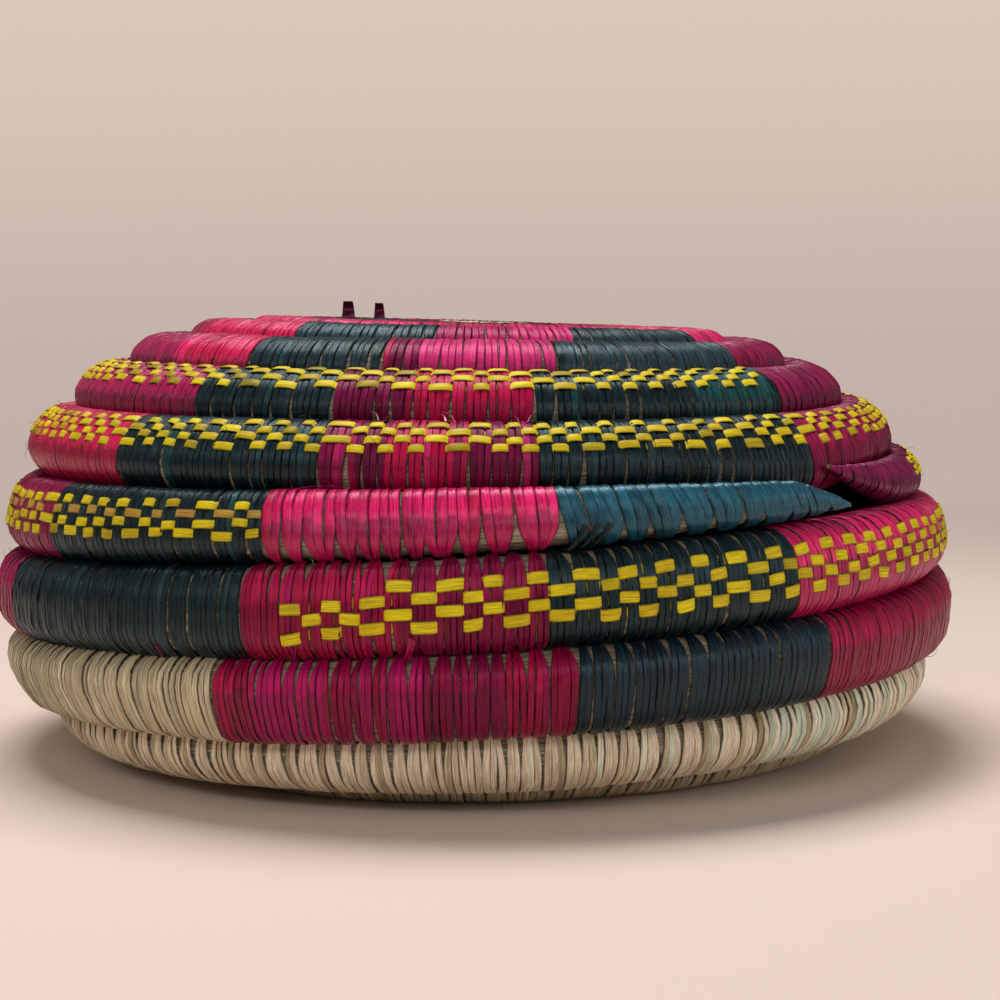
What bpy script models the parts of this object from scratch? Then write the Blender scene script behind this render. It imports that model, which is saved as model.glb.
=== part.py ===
"""Lidded coiled basket: a round basket and its lift-off lid.

Each half is one grass bundle, the foundation, wound in a spiral and sewn into
sleeves of flat dyed strips. The basket's spiral starts in the middle of the flat
base, runs out and up counterclockwise, seen from above, and tapers out at the rim.
The lid's spiral starts in the middle of the top and runs out and down clockwise.
Four yellow strips lie on the outer face of the coils along part of each spiral.

Metres, +Z up, standing on z = 0, front towards -Y.
"""

import math
from dataclasses import dataclass, replace

import bpy
from mathutils import Vector
from mathutils.bvhtree import BVHTree

# Clearances
TURN_GAP = 0.0012          # between neighbouring turns, beyond their full thickness
PIECE_GAP = 0.0003         # between pieces that touch
SEAT_GAP = 0.0004          # under the lid, measured straight down
CLEAR_HEIGHT = 1.0         # where the lid hangs before it is lowered

# Wraps and strips
WRAP_THICKNESS = 0.0009
WEFT_WIDTH = 0.0020
WEFT_THICKNESS = 0.00035
WEFT_GAP = 0.0005          # between strips side by side
WEFT_ROWS = 4
STUB_WIDTH = 0.0050
STUB_THICKNESS = 0.0005
STUB_HEIGHT = 0.0042
STUB_REACH = 0.0480        # radius of the lid coil that carries the cut strip ends
STUB_PATH = ((-1.0, 0.0), (0.0, 0.0), (0.35, 0.4), (0.5, 1.0))  # ahead and up, in heights

# Cross-section of a coil, as shares of its thickness
FLAT_SHARE = 0.27          # half width of the outer and inner flats
HALF = 0.5

# The start of a spiral, in the middle
FIRST_TURN = 0.35          # turns left open
START_TURNS = 0.5          # length of the swelling from the thin start
START_SHARE = 0.45         # thickness at the very start

# Stations along a spiral
STATIONS_PER_TURN = 24
FINE_REACH = 0.0700        # inside this distance every second station is left out
CUT_MARGIN = 0.25          # a wrap ends at least this share of a step from a station

# Lid against basket
LID_OVERHANG = 0.0034      # the lid's tip stands this much further out than the basket's
LID_TILT_FORWARD = math.radians(1.6)
LID_TILT_RIGHT = math.radians(2.4)
LID_SHIFT = (0.0014, -0.0008)
STRIP_ENDS = (("lid_strip_end_wide", 145.0, 1.0), ("lid_strip_end_narrow", 128.0, 0.5))

DYES = {
    "natural": ((0.55, 0.46, 0.30), 0.60),
    "crimson": ((0.42, 0.010, 0.075), 0.42),
    "magenta": ((0.35, 0.008, 0.10), 0.42),
    "plum": ((0.17, 0.013, 0.050), 0.45),
    "hot_pink": ((0.70, 0.030, 0.16), 0.38),
    "navy": ((0.012, 0.022, 0.040), 0.42),
    "teal": ((0.008, 0.035, 0.042), 0.42),
    "blue_teal": ((0.010, 0.060, 0.100), 0.38),
    "yellow": ((0.78, 0.58, 0.020), 0.45),
    "grass": ((0.48, 0.38, 0.20), 0.75),
}


@dataclass(frozen=True)
class Coil:
    """One spiral, laid on a skin of a flat disc, a round shoulder and a bowed wall."""

    name: str
    flat_radius: float       # flat disc in the middle of the skin
    shoulder_radius: float   # outer radius of the round turn out of the disc
    shoulder_angle: float    # how far the shoulder turns before the wall begins
    bow_radius: float        # outer radius of the wall's slight bow
    wall_length: float       # from the shoulder's end to the spiral's end, along the skin
    first_pitch: float       # pitch of the turns in the middle
    pitch_growth: float      # how much the pitch grows along the skin, as a share of its length
    off_centre: float        # how much wider the turns are drawn to one side, as a share
    off_centre_angle: float  # that side, degrees counterclockwise from +X
    tail_turns: float        # length of the taper at the spiral's end
    tail_share: float        # thickness left at the tip
    tail_power: float        # 1 tapers straight, less ends more bluntly
    tail_angle: float        # direction of the tip, degrees counterclockwise from +X
    hand: int                # 1 runs counterclockwise from above, -1 clockwise
    rise: int                # 1 climbs from the disc, -1 comes down from it
    press_depth: float = 0.0     # share pressed off the thickness where the other half rests
    press_middle: float = 0.0    # turns back from the tip to the middle of that place
    press_turns: float = 1.0     # length of that place

    def thickness_at(self, reach):
        """Full thickness of the coil at a distance along the skin."""
        return self.first_pitch + self.pitch_growth * reach - TURN_GAP

    def shoulder_mid(self):
        """Radius of the coil's middle in the shoulder."""
        return self.shoulder_radius - HALF * self.thickness_at(self.flat_radius)

    def shoulder_end(self):
        """Distance along the coil's middle to the shoulder's end."""
        return self.flat_radius + self.shoulder_mid() * self.shoulder_angle

    def last_turn(self):
        """Turns from the middle to the tip, from the length of the skin."""
        return self.turn_at(self.shoulder_end() + self.wall_length)

    def reach(self, turn):
        """Distance along the skin after some turns."""
        return self.first_pitch / self.pitch_growth * (math.exp(self.pitch_growth * turn) - 1)

    def turn_at(self, reach):
        """Turns from the middle to a distance along the skin."""
        return math.log(1 + self.pitch_growth * reach / self.first_pitch) / self.pitch_growth

    def angle(self, turn):
        """Direction of a turn, in radians counterclockwise from +X."""
        return math.radians(self.tail_angle) + self.hand * math.tau * (turn - self.last_turn())

    def tip_radius(self):
        """Radius of the skin at the spiral's tip."""
        return self.skin(self.shoulder_end() + self.wall_length)[0]

    def skin(self, reach):
        """Radius, height and slope of the skin at a distance along it."""
        end = self.shoulder_end()
        if reach <= self.flat_radius:
            return reach, 0.0, 0.0
        if reach <= end:
            slope = (reach - self.flat_radius) / self.shoulder_mid()
            radius = self.flat_radius + self.shoulder_radius * math.sin(slope)
            return radius, self.shoulder_radius * (1 - math.cos(slope)), slope
        bow_mid = self.bow_radius - HALF * self.thickness_at(end)
        slope = self.shoulder_angle + (reach - end) / bow_mid
        step = self.shoulder_radius - self.bow_radius
        radius = self.flat_radius + step * math.sin(self.shoulder_angle) + self.bow_radius * math.sin(slope)
        height = self.shoulder_radius - step * math.cos(self.shoulder_angle) - self.bow_radius * math.cos(slope)
        return radius, height, slope


@dataclass(frozen=True)
class Station:
    """One point of a spiral: the coil's middle there, its thickness and its slope."""

    turn: float
    centre: Vector
    outward: Vector          # square to the skin
    along: Vector            # along the skin, away from its middle
    size: float
    slope: float
    share: float             # thickness as a share of the full one


BASKET = Coil(
    name="basket", flat_radius=0.0980, shoulder_radius=0.0420, shoulder_angle=math.pi / 2,
    bow_radius=0.1090, wall_length=0.0396, first_pitch=0.0146, pitch_growth=0.048,
    off_centre=0.018, off_centre_angle=33.0, tail_turns=0.38,
    tail_share=0.18, tail_power=0.5, tail_angle=-45.0, hand=1, rise=1,
    press_depth=0.155, press_middle=0.810, press_turns=0.356,
)
LID_SHAPE = Coil(
    name="lid", flat_radius=0.0, shoulder_radius=0.0805, shoulder_angle=math.radians(60.0),
    bow_radius=0.1500, wall_length=0.0030, first_pitch=0.0103, pitch_growth=0.0764,
    off_centre=0.013, off_centre_angle=201.0, tail_turns=0.64,
    tail_share=0.12, tail_power=0.27, tail_angle=-45.0, hand=-1, rise=-1,
)
# The lid's flat disc is as wide as brings its rim out over the basket's.
LID = replace(LID_SHAPE, flat_radius=BASKET.tip_radius() + LID_OVERHANG - LID_SHAPE.tip_radius())

# Colour runs, from the middle of each spiral outwards, as a dye and where the run
# ends, in turns back from the tip. The front of the basket is at 0.13 and 1.13 turns.
# The base wrap comes first and ends where the flat base does.
BASKET_RUNS = (
    ("heel_wrap", "natural", 2.201),
    ("wall_wrap_01", "crimson", 2.097), ("wall_wrap_02", "navy", 2.016),
    ("wall_wrap_03", "crimson", 1.815), ("wall_wrap_04", "navy", 1.545),
    ("wall_wrap_05", "magenta", 1.301), ("wall_wrap_06", "teal", 1.191),
    ("wall_wrap_07", "crimson", 1.105), ("wall_wrap_08", "teal", 1.028),
    ("wall_wrap_09", "hot_pink", 0.815), ("wall_wrap_10", "teal", 0.545),
    ("wall_wrap_11", "magenta", 0.275), ("rim_wrap_1", "teal", 0.186),
    ("rim_wrap_2", "hot_pink", 0.101), ("rim_wrap_3", "blue_teal", 0.0),
)
# On the lid's top, where each run ends as a share of the turns before the sectors.
LID_CENTRE_RUNS = (
    ("lid_button_wrap", "natural", 0.20), ("lid_top_wrap_1", "plum", 0.45),
    ("lid_top_wrap_2", "teal", 0.75), ("lid_top_wrap_3", "hot_pink", 1.00),
)
# The lid's dyes line up from turn to turn, like the gores of a tent. Each row gives
# where the sectors of one turn end, in turns back from that turn's own end.
LID_SECTOR_DYES = ("teal", "plum", "teal", "hot_pink", "teal", "magenta")
LID_SECTOR_ENDS = (
    (0.929, 0.854, 0.774, 0.599, 0.339, 0.012),
    (0.910, 0.836, 0.774, 0.599, 0.339, 0.006),
    (0.896, 0.825, 0.769, 0.599, 0.339, -0.004),
    (0.895, 0.828, 0.751, 0.599, 0.339, 0.0),
)
LID_SECTORS_START = 4.024      # turns back from the tip
BASKET_WEFT = (1.180, 0.185)
LID_WEFT = (2.000, 0.105)


def clear_scene():
    """Remove whatever the scene starts with."""
    for thing in list(bpy.data.objects):
        bpy.data.objects.remove(thing)


def new_collection(name, parent):
    """Make a collection under another."""
    group = bpy.data.collections.new(name)
    parent.children.link(group)
    return group


def dye_material(dye):
    """A plain material in one of the dyes."""
    material = bpy.data.materials.get(dye) or bpy.data.materials.new(dye)
    material.use_nodes = True
    shader = material.node_tree.nodes["Principled BSDF"]
    colour, roughness = DYES[dye]
    shader.inputs["Base Color"].default_value = (*colour, 1.0)
    shader.inputs["Roughness"].default_value = roughness
    shader.inputs["Metallic"].default_value = 0.0
    return material


def poly_curve(name, points, group, flat=False):
    """A curve through points of (place, size, twist)."""
    curve = bpy.data.curves.new(name, "CURVE")
    curve.dimensions = "2D" if flat else "3D"
    spline = curve.splines.new("POLY")
    spline.points.add(len(points) - 1)
    for point, (place, size, twist) in zip(spline.points, points):
        point.co = (*place, 1.0)
        point.radius = size
        point.tilt = twist
    thing = bpy.data.objects.new(name, curve)
    group.objects.link(thing)
    return thing


def guide_outline(name, corners, group):
    """A closed outline that tubes are swept with, listed clockwise."""
    points = [((x, y, 0.0), 1.0, 0.0) for x, y in reversed(corners)]
    guide = poly_curve(name, points, group, flat=True)
    guide.data.splines[0].use_cyclic_u = True
    guide.hide_render = True
    guide.display_type = "WIRE"
    return guide


def coil_outline(group):
    """Six-sided section, one unit thick: flat outside and inside, edges towards the next turns."""
    corners = [(HALF, 0.0), (FLAT_SHARE, HALF), (-FLAT_SHARE, HALF),
               (-HALF, 0.0), (-FLAT_SHARE, -HALF), (FLAT_SHARE, -HALF)]
    return guide_outline("coil_outline", corners, group)


def strip_outline(name, width, thickness, group):
    """Rectangular section of a flat strip."""
    x, y = HALF * width, HALF * thickness
    return guide_outline(name, [(x, y), (-x, y), (-x, -y), (x, -y)], group)


def side_apothem():
    """Distance from the section's middle to its slanted sides, for a unit section."""
    return HALF * HALF / math.hypot(HALF - FLAT_SHARE, HALF)


def sweep(name, outline, points, dye, group, parent, capped=True):
    """Sweep an outline along points of (place, size, twist)."""
    thing = poly_curve(name, points, group)
    curve = thing.data
    curve.twist_mode = "Z_UP"
    curve.bevel_mode = "OBJECT"
    curve.bevel_object = outline
    curve.use_fill_caps = capped
    curve.materials.append(dye_material(dye))
    thing.parent = parent
    return thing


def end_state(coil, turn):
    """Thickness share along the spiral, and whether a thin coil hugs the turn inside it."""
    back = coil.last_turn() - turn
    if back < coil.tail_turns:
        return coil.tail_share + (1 - coil.tail_share) * (back / coil.tail_turns) ** coil.tail_power, 1
    aside = abs(back - coil.press_middle) / (HALF * coil.press_turns)
    if aside < 1:
        return 1 - coil.press_depth * math.cos(HALF * math.pi * aside ** 2) ** 2, 1
    fade = max(1 - (turn - FIRST_TURN) / START_TURNS, 0.0)
    return 1 - (1 - START_SHARE) * fade ** 2, 0


def station(coil, turn):
    """Place and shape of the coil after some turns."""
    angle = coil.angle(turn)
    crowding = 1 + coil.off_centre * math.cos(angle - math.radians(coil.off_centre_angle))
    reach = coil.reach(turn)
    full = (coil.thickness_at(reach) + TURN_GAP) * crowding - TURN_GAP
    share, pull = end_state(coil, turn)
    size = full * share
    radius, height, slope = coil.skin(reach * crowding - pull * HALF * (full - size))
    across = Vector((math.cos(angle), math.sin(angle), 0.0))
    up = Vector((0.0, 0.0, coil.rise))
    outward = across * math.sin(slope) - up * math.cos(slope)
    along = across * math.cos(slope) + up * math.sin(slope)
    centre = across * radius + up * height - outward * HALF * size
    return Station(turn, centre, outward, along, size, slope, share)


def stations(coil):
    """Stations of a whole spiral, counted back from its tip."""
    found = []
    last = coil.last_turn()
    steps = int((last - FIRST_TURN) * STATIONS_PER_TURN)
    for step in range(steps, -1, -1):
        turn = last - step / STATIONS_PER_TURN
        if coil.reach(turn) > FINE_REACH or step % 2 == 0:
            found.append(station(coil, turn))
    return found


def between(a, b, part):
    """A station part of the way from one to the next."""
    return Station(
        a.turn + (b.turn - a.turn) * part,
        a.centre.lerp(b.centre, part),
        a.outward.lerp(b.outward, part).normalized(),
        a.along.lerp(b.along, part).normalized(),
        a.size + (b.size - a.size) * part,
        a.slope + (b.slope - a.slope) * part,
        a.share + (b.share - a.share) * part,
    )


def cut(path, turn, gap):
    """Index of the step that holds a cut, and the station there, moved along by a gap."""
    turns = [one.turn for one in path]
    step = max(i for i in range(len(path) - 1) if turns[i] <= turn or i == 0)
    start, end = path[step], path[step + 1]
    part = (turn - start.turn) / (end.turn - start.turn)
    part = min(max(part, CUT_MARGIN), 1 - CUT_MARGIN)
    return step, between(start, end, part + gap / (end.centre - start.centre).length)


def stretch(path, first, last):
    """Stations from one cut to another; None stands for the spiral's own end."""
    low, high = 0, len(path)
    opening, closing = [], []
    if first is not None:
        step, one = cut(path, first, HALF * PIECE_GAP)
        low, opening = step + 1, [one]
    if last is not None:
        step, one = cut(path, last, -HALF * PIECE_GAP)
        high, closing = step + 1, [one]
    return opening + path[low:high] + closing


def least_gap(path):
    """Least gap between turns of one tube, on its stations."""
    gaps = []
    for i, a in enumerate(path):
        for b in path[i + 1:]:
            if b.turn - a.turn > HALF:
                gaps.append((a.centre - b.centre).length - HALF * (a.size + b.size))
    return min(gaps)


def make_foundation(coil, path, outline, group, parent):
    """The grass bundle inside the wraps: one unbroken tube."""
    name = f"{coil.name}_foundation"
    inset = (WRAP_THICKNESS + PIECE_GAP) / side_apothem()
    points = [(one.centre, one.size - inset, -one.slope) for one in path]
    thing = sweep(name, outline, points, "grass", group, parent)
    print(f"{name}: {len(path)} stations, least gap to itself {1000 * (least_gap(path) + inset):.2f} mm,")
    print(f"{name}: with its wraps {1000 * least_gap(path):.2f} mm")
    return thing


def make_wrap(name, dye, path, outline, group, parent):
    """A sleeve of wraps over one stretch of a coil."""
    points = [(one.centre, one.size, -one.slope) for one in path]
    thing = sweep(name, outline, points, dye, group, parent, capped=False)
    shell = thing.modifiers.new("wrap wall", "SOLIDIFY")
    shell.thickness = WRAP_THICKNESS
    shell.offset = -1.0
    shell.use_even_offset = True
    return thing


def make_wraps(coil, path, runs, outline, group, parent):
    """All sleeves of a spiral, from the middle outwards."""
    last = coil.last_turn()
    made, start = [], None
    for name, dye, back in runs:
        end = last - back if back > 0 else None
        made.append(make_wrap(f"{name}_{dye}", dye, stretch(path, start, end), outline, group, parent))
        start = end
    return made


def basket_runs():
    """The basket's runs, with the base wrap over the flat turns."""
    flat_end = BASKET.last_turn() - BASKET.turn_at(BASKET.flat_radius)
    return [("base_wrap", "natural", flat_end), *BASKET_RUNS]


def lid_runs():
    """The lid's runs: the middle ones, then the same sectors turn after turn."""
    centre_turns = LID.last_turn() - FIRST_TURN - LID_SECTORS_START
    runs = []
    for name, dye, share in LID_CENTRE_RUNS:
        runs.append((name, dye, LID_SECTORS_START + centre_turns * (1 - share)))
    for turn, ends in enumerate(LID_SECTOR_ENDS, start=1):
        turns_back = len(LID_SECTOR_ENDS) - turn
        for number, (dye, back) in enumerate(zip(LID_SECTOR_DYES, ends), start=1):
            runs.append((f"lid_wrap_{turn}{number}", dye, turns_back + back))
    return runs


def make_weft(coil, path, ends, outline, group, parent):
    """Four flat strips side by side on the outer face of a coil."""
    last = coil.last_turn()
    pitch = WEFT_WIDTH + WEFT_GAP
    route = stretch(path, last - ends[0], last - ends[1])
    for row in range(WEFT_ROWS):
        aside = (row - HALF * (WEFT_ROWS - 1)) * pitch
        points = []
        for one in route:
            lift = HALF * one.size + PIECE_GAP + HALF * WEFT_THICKNESS * one.share
            place = one.centre + one.outward * lift + one.along * aside * one.share
            points.append((place, one.share, -one.slope))
        sweep(f"{coil.name}_weft_row_{row + 1}", outline, points, "yellow", group, parent)


def make_strip_end(name, angle, scale, outline, group, parent):
    """A cut strip end that lies on the lid's top and turns up."""
    turning = math.radians(angle)
    turns = LID.last_turn()
    offset = ((math.radians(LID.tail_angle) - turning) / math.tau) % 1
    candidates = [turns - count - 1 + offset for count in range(int(turns))]
    turn = min(candidates, key=lambda one: abs(LID.reach(one) - STUB_REACH))
    seat = station(LID, turn)
    heading = Vector((math.sin(turning), -math.cos(turning), 0.0))
    lift = HALF * seat.size + PIECE_GAP + HALF * STUB_THICKNESS * scale
    root = seat.centre + seat.outward * lift
    points = []
    for ahead, above in STUB_PATH:
        place = root + (heading * ahead + seat.outward * above) * STUB_HEIGHT
        points.append((place, scale, 0.0))
    sweep(name, outline, points, "plum", group, parent)


def world_points(things, extra_steps=3):
    """Corners and points along the edges of evaluated objects, in world space."""
    graph = bpy.context.evaluated_depsgraph_get()
    points = []
    for thing in things:
        mesh = thing.evaluated_get(graph).to_mesh()
        places = [thing.matrix_world @ corner.co for corner in mesh.vertices]
        points += places
        for edge in mesh.edges:
            a, b = (places[index] for index in edge.vertices)
            points += [a.lerp(b, (k + 1) / (extra_steps + 1)) for k in range(extra_steps)]
    return points


def surface_tree(things):
    """A search tree of the evaluated surfaces of objects, in world space."""
    graph = bpy.context.evaluated_depsgraph_get()
    corners, faces = [], []
    for thing in things:
        mesh = thing.evaluated_get(graph).to_mesh()
        start = len(corners)
        corners += [thing.matrix_world @ corner.co for corner in mesh.vertices]
        faces += [[start + index for index in face.vertices] for face in mesh.polygons]
    return BVHTree.FromPolygons(corners, faces)


def least_drop(upper, lower):
    """How far the upper objects can come straight down before they touch the lower ones."""
    down, up = Vector((0.0, 0.0, -1.0)), Vector((0.0, 0.0, 1.0))
    drops = []
    for tree, points, way in (
        (surface_tree(lower), world_points(upper), down),
        (surface_tree(upper), world_points(lower), up),
    ):
        for point in points:
            hit = tree.ray_cast(point, way)
            if hit[0] is not None:
                drops.append(hit[3])
    return min(drops)


def seat_lid(lid_axis, lid_things, basket_things):
    """Lower the lid from well above the basket until the seat gap is left."""
    lid_axis.location.z = CLEAR_HEIGHT
    bpy.context.view_layer.update()
    lid_axis.location.z -= least_drop(lid_things, basket_things) - SEAT_GAP
    bpy.context.view_layer.update()


def centre_on_origin(basket_axis, things):
    """Move the whole basket so that the middle of its box is over the origin."""
    points = world_points(things, extra_steps=0)
    for axis in (0, 1):
        values = [point[axis] for point in points]
        basket_axis.location[axis] -= HALF * (min(values) + max(values))
    bpy.context.view_layer.update()


def new_axis(name, group, parent=None):
    """An empty that carries the pieces of one half."""
    axis = bpy.data.objects.new(name, None)
    group.objects.link(axis)
    axis.parent = parent
    return axis


def main():
    """Build the basket and its lid."""
    clear_scene()
    scene_root = bpy.context.scene.collection
    parts = new_collection("lidded coiled basket", scene_root)
    guides = new_collection("guides", scene_root)
    coil_section = coil_outline(guides)
    weft_section = strip_outline("weft_outline", WEFT_WIDTH, WEFT_THICKNESS, guides)
    stub_section = strip_outline("stub_outline", STUB_WIDTH, STUB_THICKNESS, guides)

    basket_axis = new_axis("basket_axis", parts)
    lid_axis = new_axis("lid_axis", parts, basket_axis)
    lid_axis.location.xy = LID_SHIFT
    lid_axis.rotation_euler = (LID_TILT_FORWARD, LID_TILT_RIGHT, 0.0)

    basket_path = stations(BASKET)
    make_foundation(BASKET, basket_path, coil_section, parts, basket_axis)
    basket_wraps = make_wraps(BASKET, basket_path, basket_runs(), coil_section, parts, basket_axis)
    make_weft(BASKET, basket_path, BASKET_WEFT, weft_section, parts, basket_axis)

    lid_path = stations(LID)
    make_foundation(LID, lid_path, coil_section, parts, lid_axis)
    lid_wraps = make_wraps(LID, lid_path, lid_runs(), coil_section, parts, lid_axis)
    make_weft(LID, lid_path, LID_WEFT, weft_section, parts, lid_axis)
    for name, angle, scale in STRIP_ENDS:
        make_strip_end(name, angle, scale, stub_section, parts, lid_axis)

    bpy.context.view_layer.update()
    seat_lid(lid_axis, lid_wraps, basket_wraps)
    centre_on_origin(basket_axis, basket_wraps + lid_wraps)
    print(f"lid top at {1000 * lid_axis.location.z:.1f} mm")


main()
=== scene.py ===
"""Looks of the lidded coiled basket: every wrap strip, the grass inside, and the yellow weave.

The two spirals repeat the sizes of the CAD source, in metres, because the strips are
laid along the same coils. Each strip is one small closed solid, modelled once and bent
round the coil for each place. The stitches draw the strips together in bunches, and four
yellow wefts run over one bunch and under the next.
"""
import logging
import math
from dataclasses import dataclass
from enum import Enum

import bpy
import numpy as np
from mathutils import Euler, Matrix, Vector


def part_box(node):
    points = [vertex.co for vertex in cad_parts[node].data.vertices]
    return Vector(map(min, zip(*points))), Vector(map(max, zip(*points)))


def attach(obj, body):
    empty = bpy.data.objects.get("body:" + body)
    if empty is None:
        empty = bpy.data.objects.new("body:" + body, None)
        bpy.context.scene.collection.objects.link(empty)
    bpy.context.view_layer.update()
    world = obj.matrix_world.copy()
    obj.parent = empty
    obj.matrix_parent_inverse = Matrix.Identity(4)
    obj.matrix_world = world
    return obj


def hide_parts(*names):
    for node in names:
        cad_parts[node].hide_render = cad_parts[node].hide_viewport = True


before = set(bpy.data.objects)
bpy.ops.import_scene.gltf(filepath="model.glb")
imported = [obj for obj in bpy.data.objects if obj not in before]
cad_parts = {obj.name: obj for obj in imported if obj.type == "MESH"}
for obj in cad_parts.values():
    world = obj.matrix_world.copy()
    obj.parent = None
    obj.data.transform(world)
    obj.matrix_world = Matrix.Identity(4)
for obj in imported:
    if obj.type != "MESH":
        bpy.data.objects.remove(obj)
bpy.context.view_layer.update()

LOG = logging.getLogger("basket")

TAU = 2 * math.pi
MM = 0.001
QUARTER_TURN = 0.5 * math.pi
SEED = 7

# Sizes and turns repeated from the CAD source
TURN_GAP = 0.0012
FIRST_TURN = 0.35
START_TURNS = 0.5
START_SHARE = 0.45
TIP_LEAST = 0.02
LID_SECTORS_START = 4.024

Triple = tuple[float, float, float]
Zones = tuple[Triple, ...]


class Dye(Enum):
    """The dyes of the palm strips, and the plain grass, by material slot."""

    NATURAL = "natural_wrap"
    CRIMSON = "crimson_wrap"
    MAGENTA = "magenta_wrap"
    PLUM = "plum_wrap"
    HOT_PINK = "hot_pink_wrap"
    NAVY = "navy_wrap"
    TEAL = "teal_wrap"
    BLUE_TEAL = "blue_teal_wrap"
    YELLOW = "yellow_weft"
    GRASS = "grass_foundation"


@dataclass(frozen=True)
class Frames:
    """Places along a coil, one row each: middle, directions and thickness.

    The size is the thickness in metres, and the share is what it is of the full one.
    """

    centre: np.ndarray
    outward: np.ndarray
    along: np.ndarray
    size: np.ndarray
    share: np.ndarray


@dataclass(frozen=True)
class Coil:
    """One spiral, laid on a skin of a flat disc, a round shoulder and a bowed wall.

    Lengths are in metres, and the two placing angles in degrees. The tail thins over its
    turns to a share at the tip. The pressed stretch is where the lid's weight thins the
    basket's rim, given by its middle in turns back from the tip. The sag is how far the
    turn beside the tip hangs past its thickness.
    """

    flat_radius: float
    shoulder_radius: float
    shoulder_angle: float
    bow_radius: float
    wall_length: float
    first_pitch: float
    pitch_growth: float
    off_centre: float
    off_centre_angle: float
    tail_turns: float
    tail_share: float
    tail_power: float
    tail_angle: float
    tip_turns: float
    hand: int
    rise: int
    place: Matrix
    sag: float = 0.0
    press_depth: float = 0.0
    press_middle: float = 0.0
    press_turns: float = 1.0

    def thickness_at(self, reach: np.ndarray) -> np.ndarray:
        """Full thickness at a distance along the skin."""
        return self.first_pitch + self.pitch_growth * reach - TURN_GAP

    def shoulder_mid(self) -> float:
        """Radius of the coil's middle in the shoulder."""
        return self.shoulder_radius - 0.5 * self.thickness_at(self.flat_radius)

    def shoulder_end(self) -> float:
        """Distance along the coil's middle to the shoulder's end."""
        return self.flat_radius + self.shoulder_mid() * self.shoulder_angle

    def turn_at(self, reach: float) -> float:
        """Turns from the middle to a distance along the skin."""
        return math.log(1 + self.pitch_growth * reach / self.first_pitch) / self.pitch_growth

    def last_turn(self) -> float:
        """Turns from the middle to the tip."""
        return self.turn_at(self.shoulder_end() + self.wall_length)

    def angle(self, turn: np.ndarray) -> np.ndarray:
        """Direction of a turn, in radians counterclockwise from +X."""
        return math.radians(self.tail_angle) + self.hand * TAU * (turn - self.last_turn())

    def skin(self, reach: np.ndarray) -> tuple[np.ndarray, np.ndarray, np.ndarray]:
        """Radius, height and slope of the skin.

        Args:
            reach: Distances along the skin.

        Returns:
            Radii, heights and slopes, one each.
        """
        end = self.shoulder_end()
        turned = np.clip((reach - self.flat_radius) / self.shoulder_mid(), 0, self.shoulder_angle)
        bow_mid = self.bow_radius - 0.5 * self.thickness_at(end)
        bowed = np.maximum(reach - end, 0) / bow_mid
        slope = turned + bowed
        radius = np.minimum(reach, self.flat_radius) + self.shoulder_radius * np.sin(turned)
        radius = radius + self.bow_radius * (np.sin(slope) - np.sin(turned))
        height = self.shoulder_radius * (1 - np.cos(turned))
        height = height + self.bow_radius * (np.cos(turned) - np.cos(slope))
        return radius, height, slope

    def frames(self, turn: np.ndarray) -> Frames:
        """Place and shape of the coil after some turns.

        Args:
            turn: Turns from the middle, any shape.

        Returns:
            Frames in the part's own frame.
        """
        angle = self.angle(turn)
        crowding = 1 + self.off_centre * np.cos(angle - math.radians(self.off_centre_angle))
        reach = self.first_pitch / self.pitch_growth * (np.exp(self.pitch_growth * turn) - 1)
        full = (self.thickness_at(reach) + TURN_GAP) * crowding - TURN_GAP
        back = self.last_turn() - turn
        aside = np.minimum(np.abs(back - self.press_middle) / (0.5 * self.press_turns), 1)
        pressed = 1 - self.press_depth * np.cos(QUARTER_TURN * aside ** 2) ** 2
        left = np.clip(back / self.tail_turns, 0, 1) ** self.tail_power
        closing = np.sqrt(np.clip(back / self.tip_turns, TIP_LEAST, 1))
        tail = (self.tail_share + (1 - self.tail_share) * left) * pressed * closing
        start = 1 - (1 - START_SHARE) * np.clip(1 - (turn - FIRST_TURN) / START_TURNS, 0, 1) ** 2
        share = tail * start
        size = full * share
        pulled = np.where(tail < 1, 0.5 * (full - size), 0.0)
        radius, height, slope = self.skin(reach * crowding - pulled)
        across = np.stack([np.cos(angle), np.sin(angle), np.zeros_like(angle)], -1)
        up = np.array([0.0, 0.0, float(self.rise)])
        sin, cos = np.sin(slope)[..., None], np.cos(slope)[..., None]
        outward = across * sin - up * cos
        along = across * cos + up * sin
        centre = across * radius[..., None] + up * height[..., None]
        centre = centre - outward * (0.5 * size)[..., None]
        turn_part = np.array(self.place.to_3x3())
        shift = np.array(self.place.translation)
        return Frames(centre @ turn_part.T + shift, outward @ turn_part.T, along @ turn_part.T, size, share)


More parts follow.
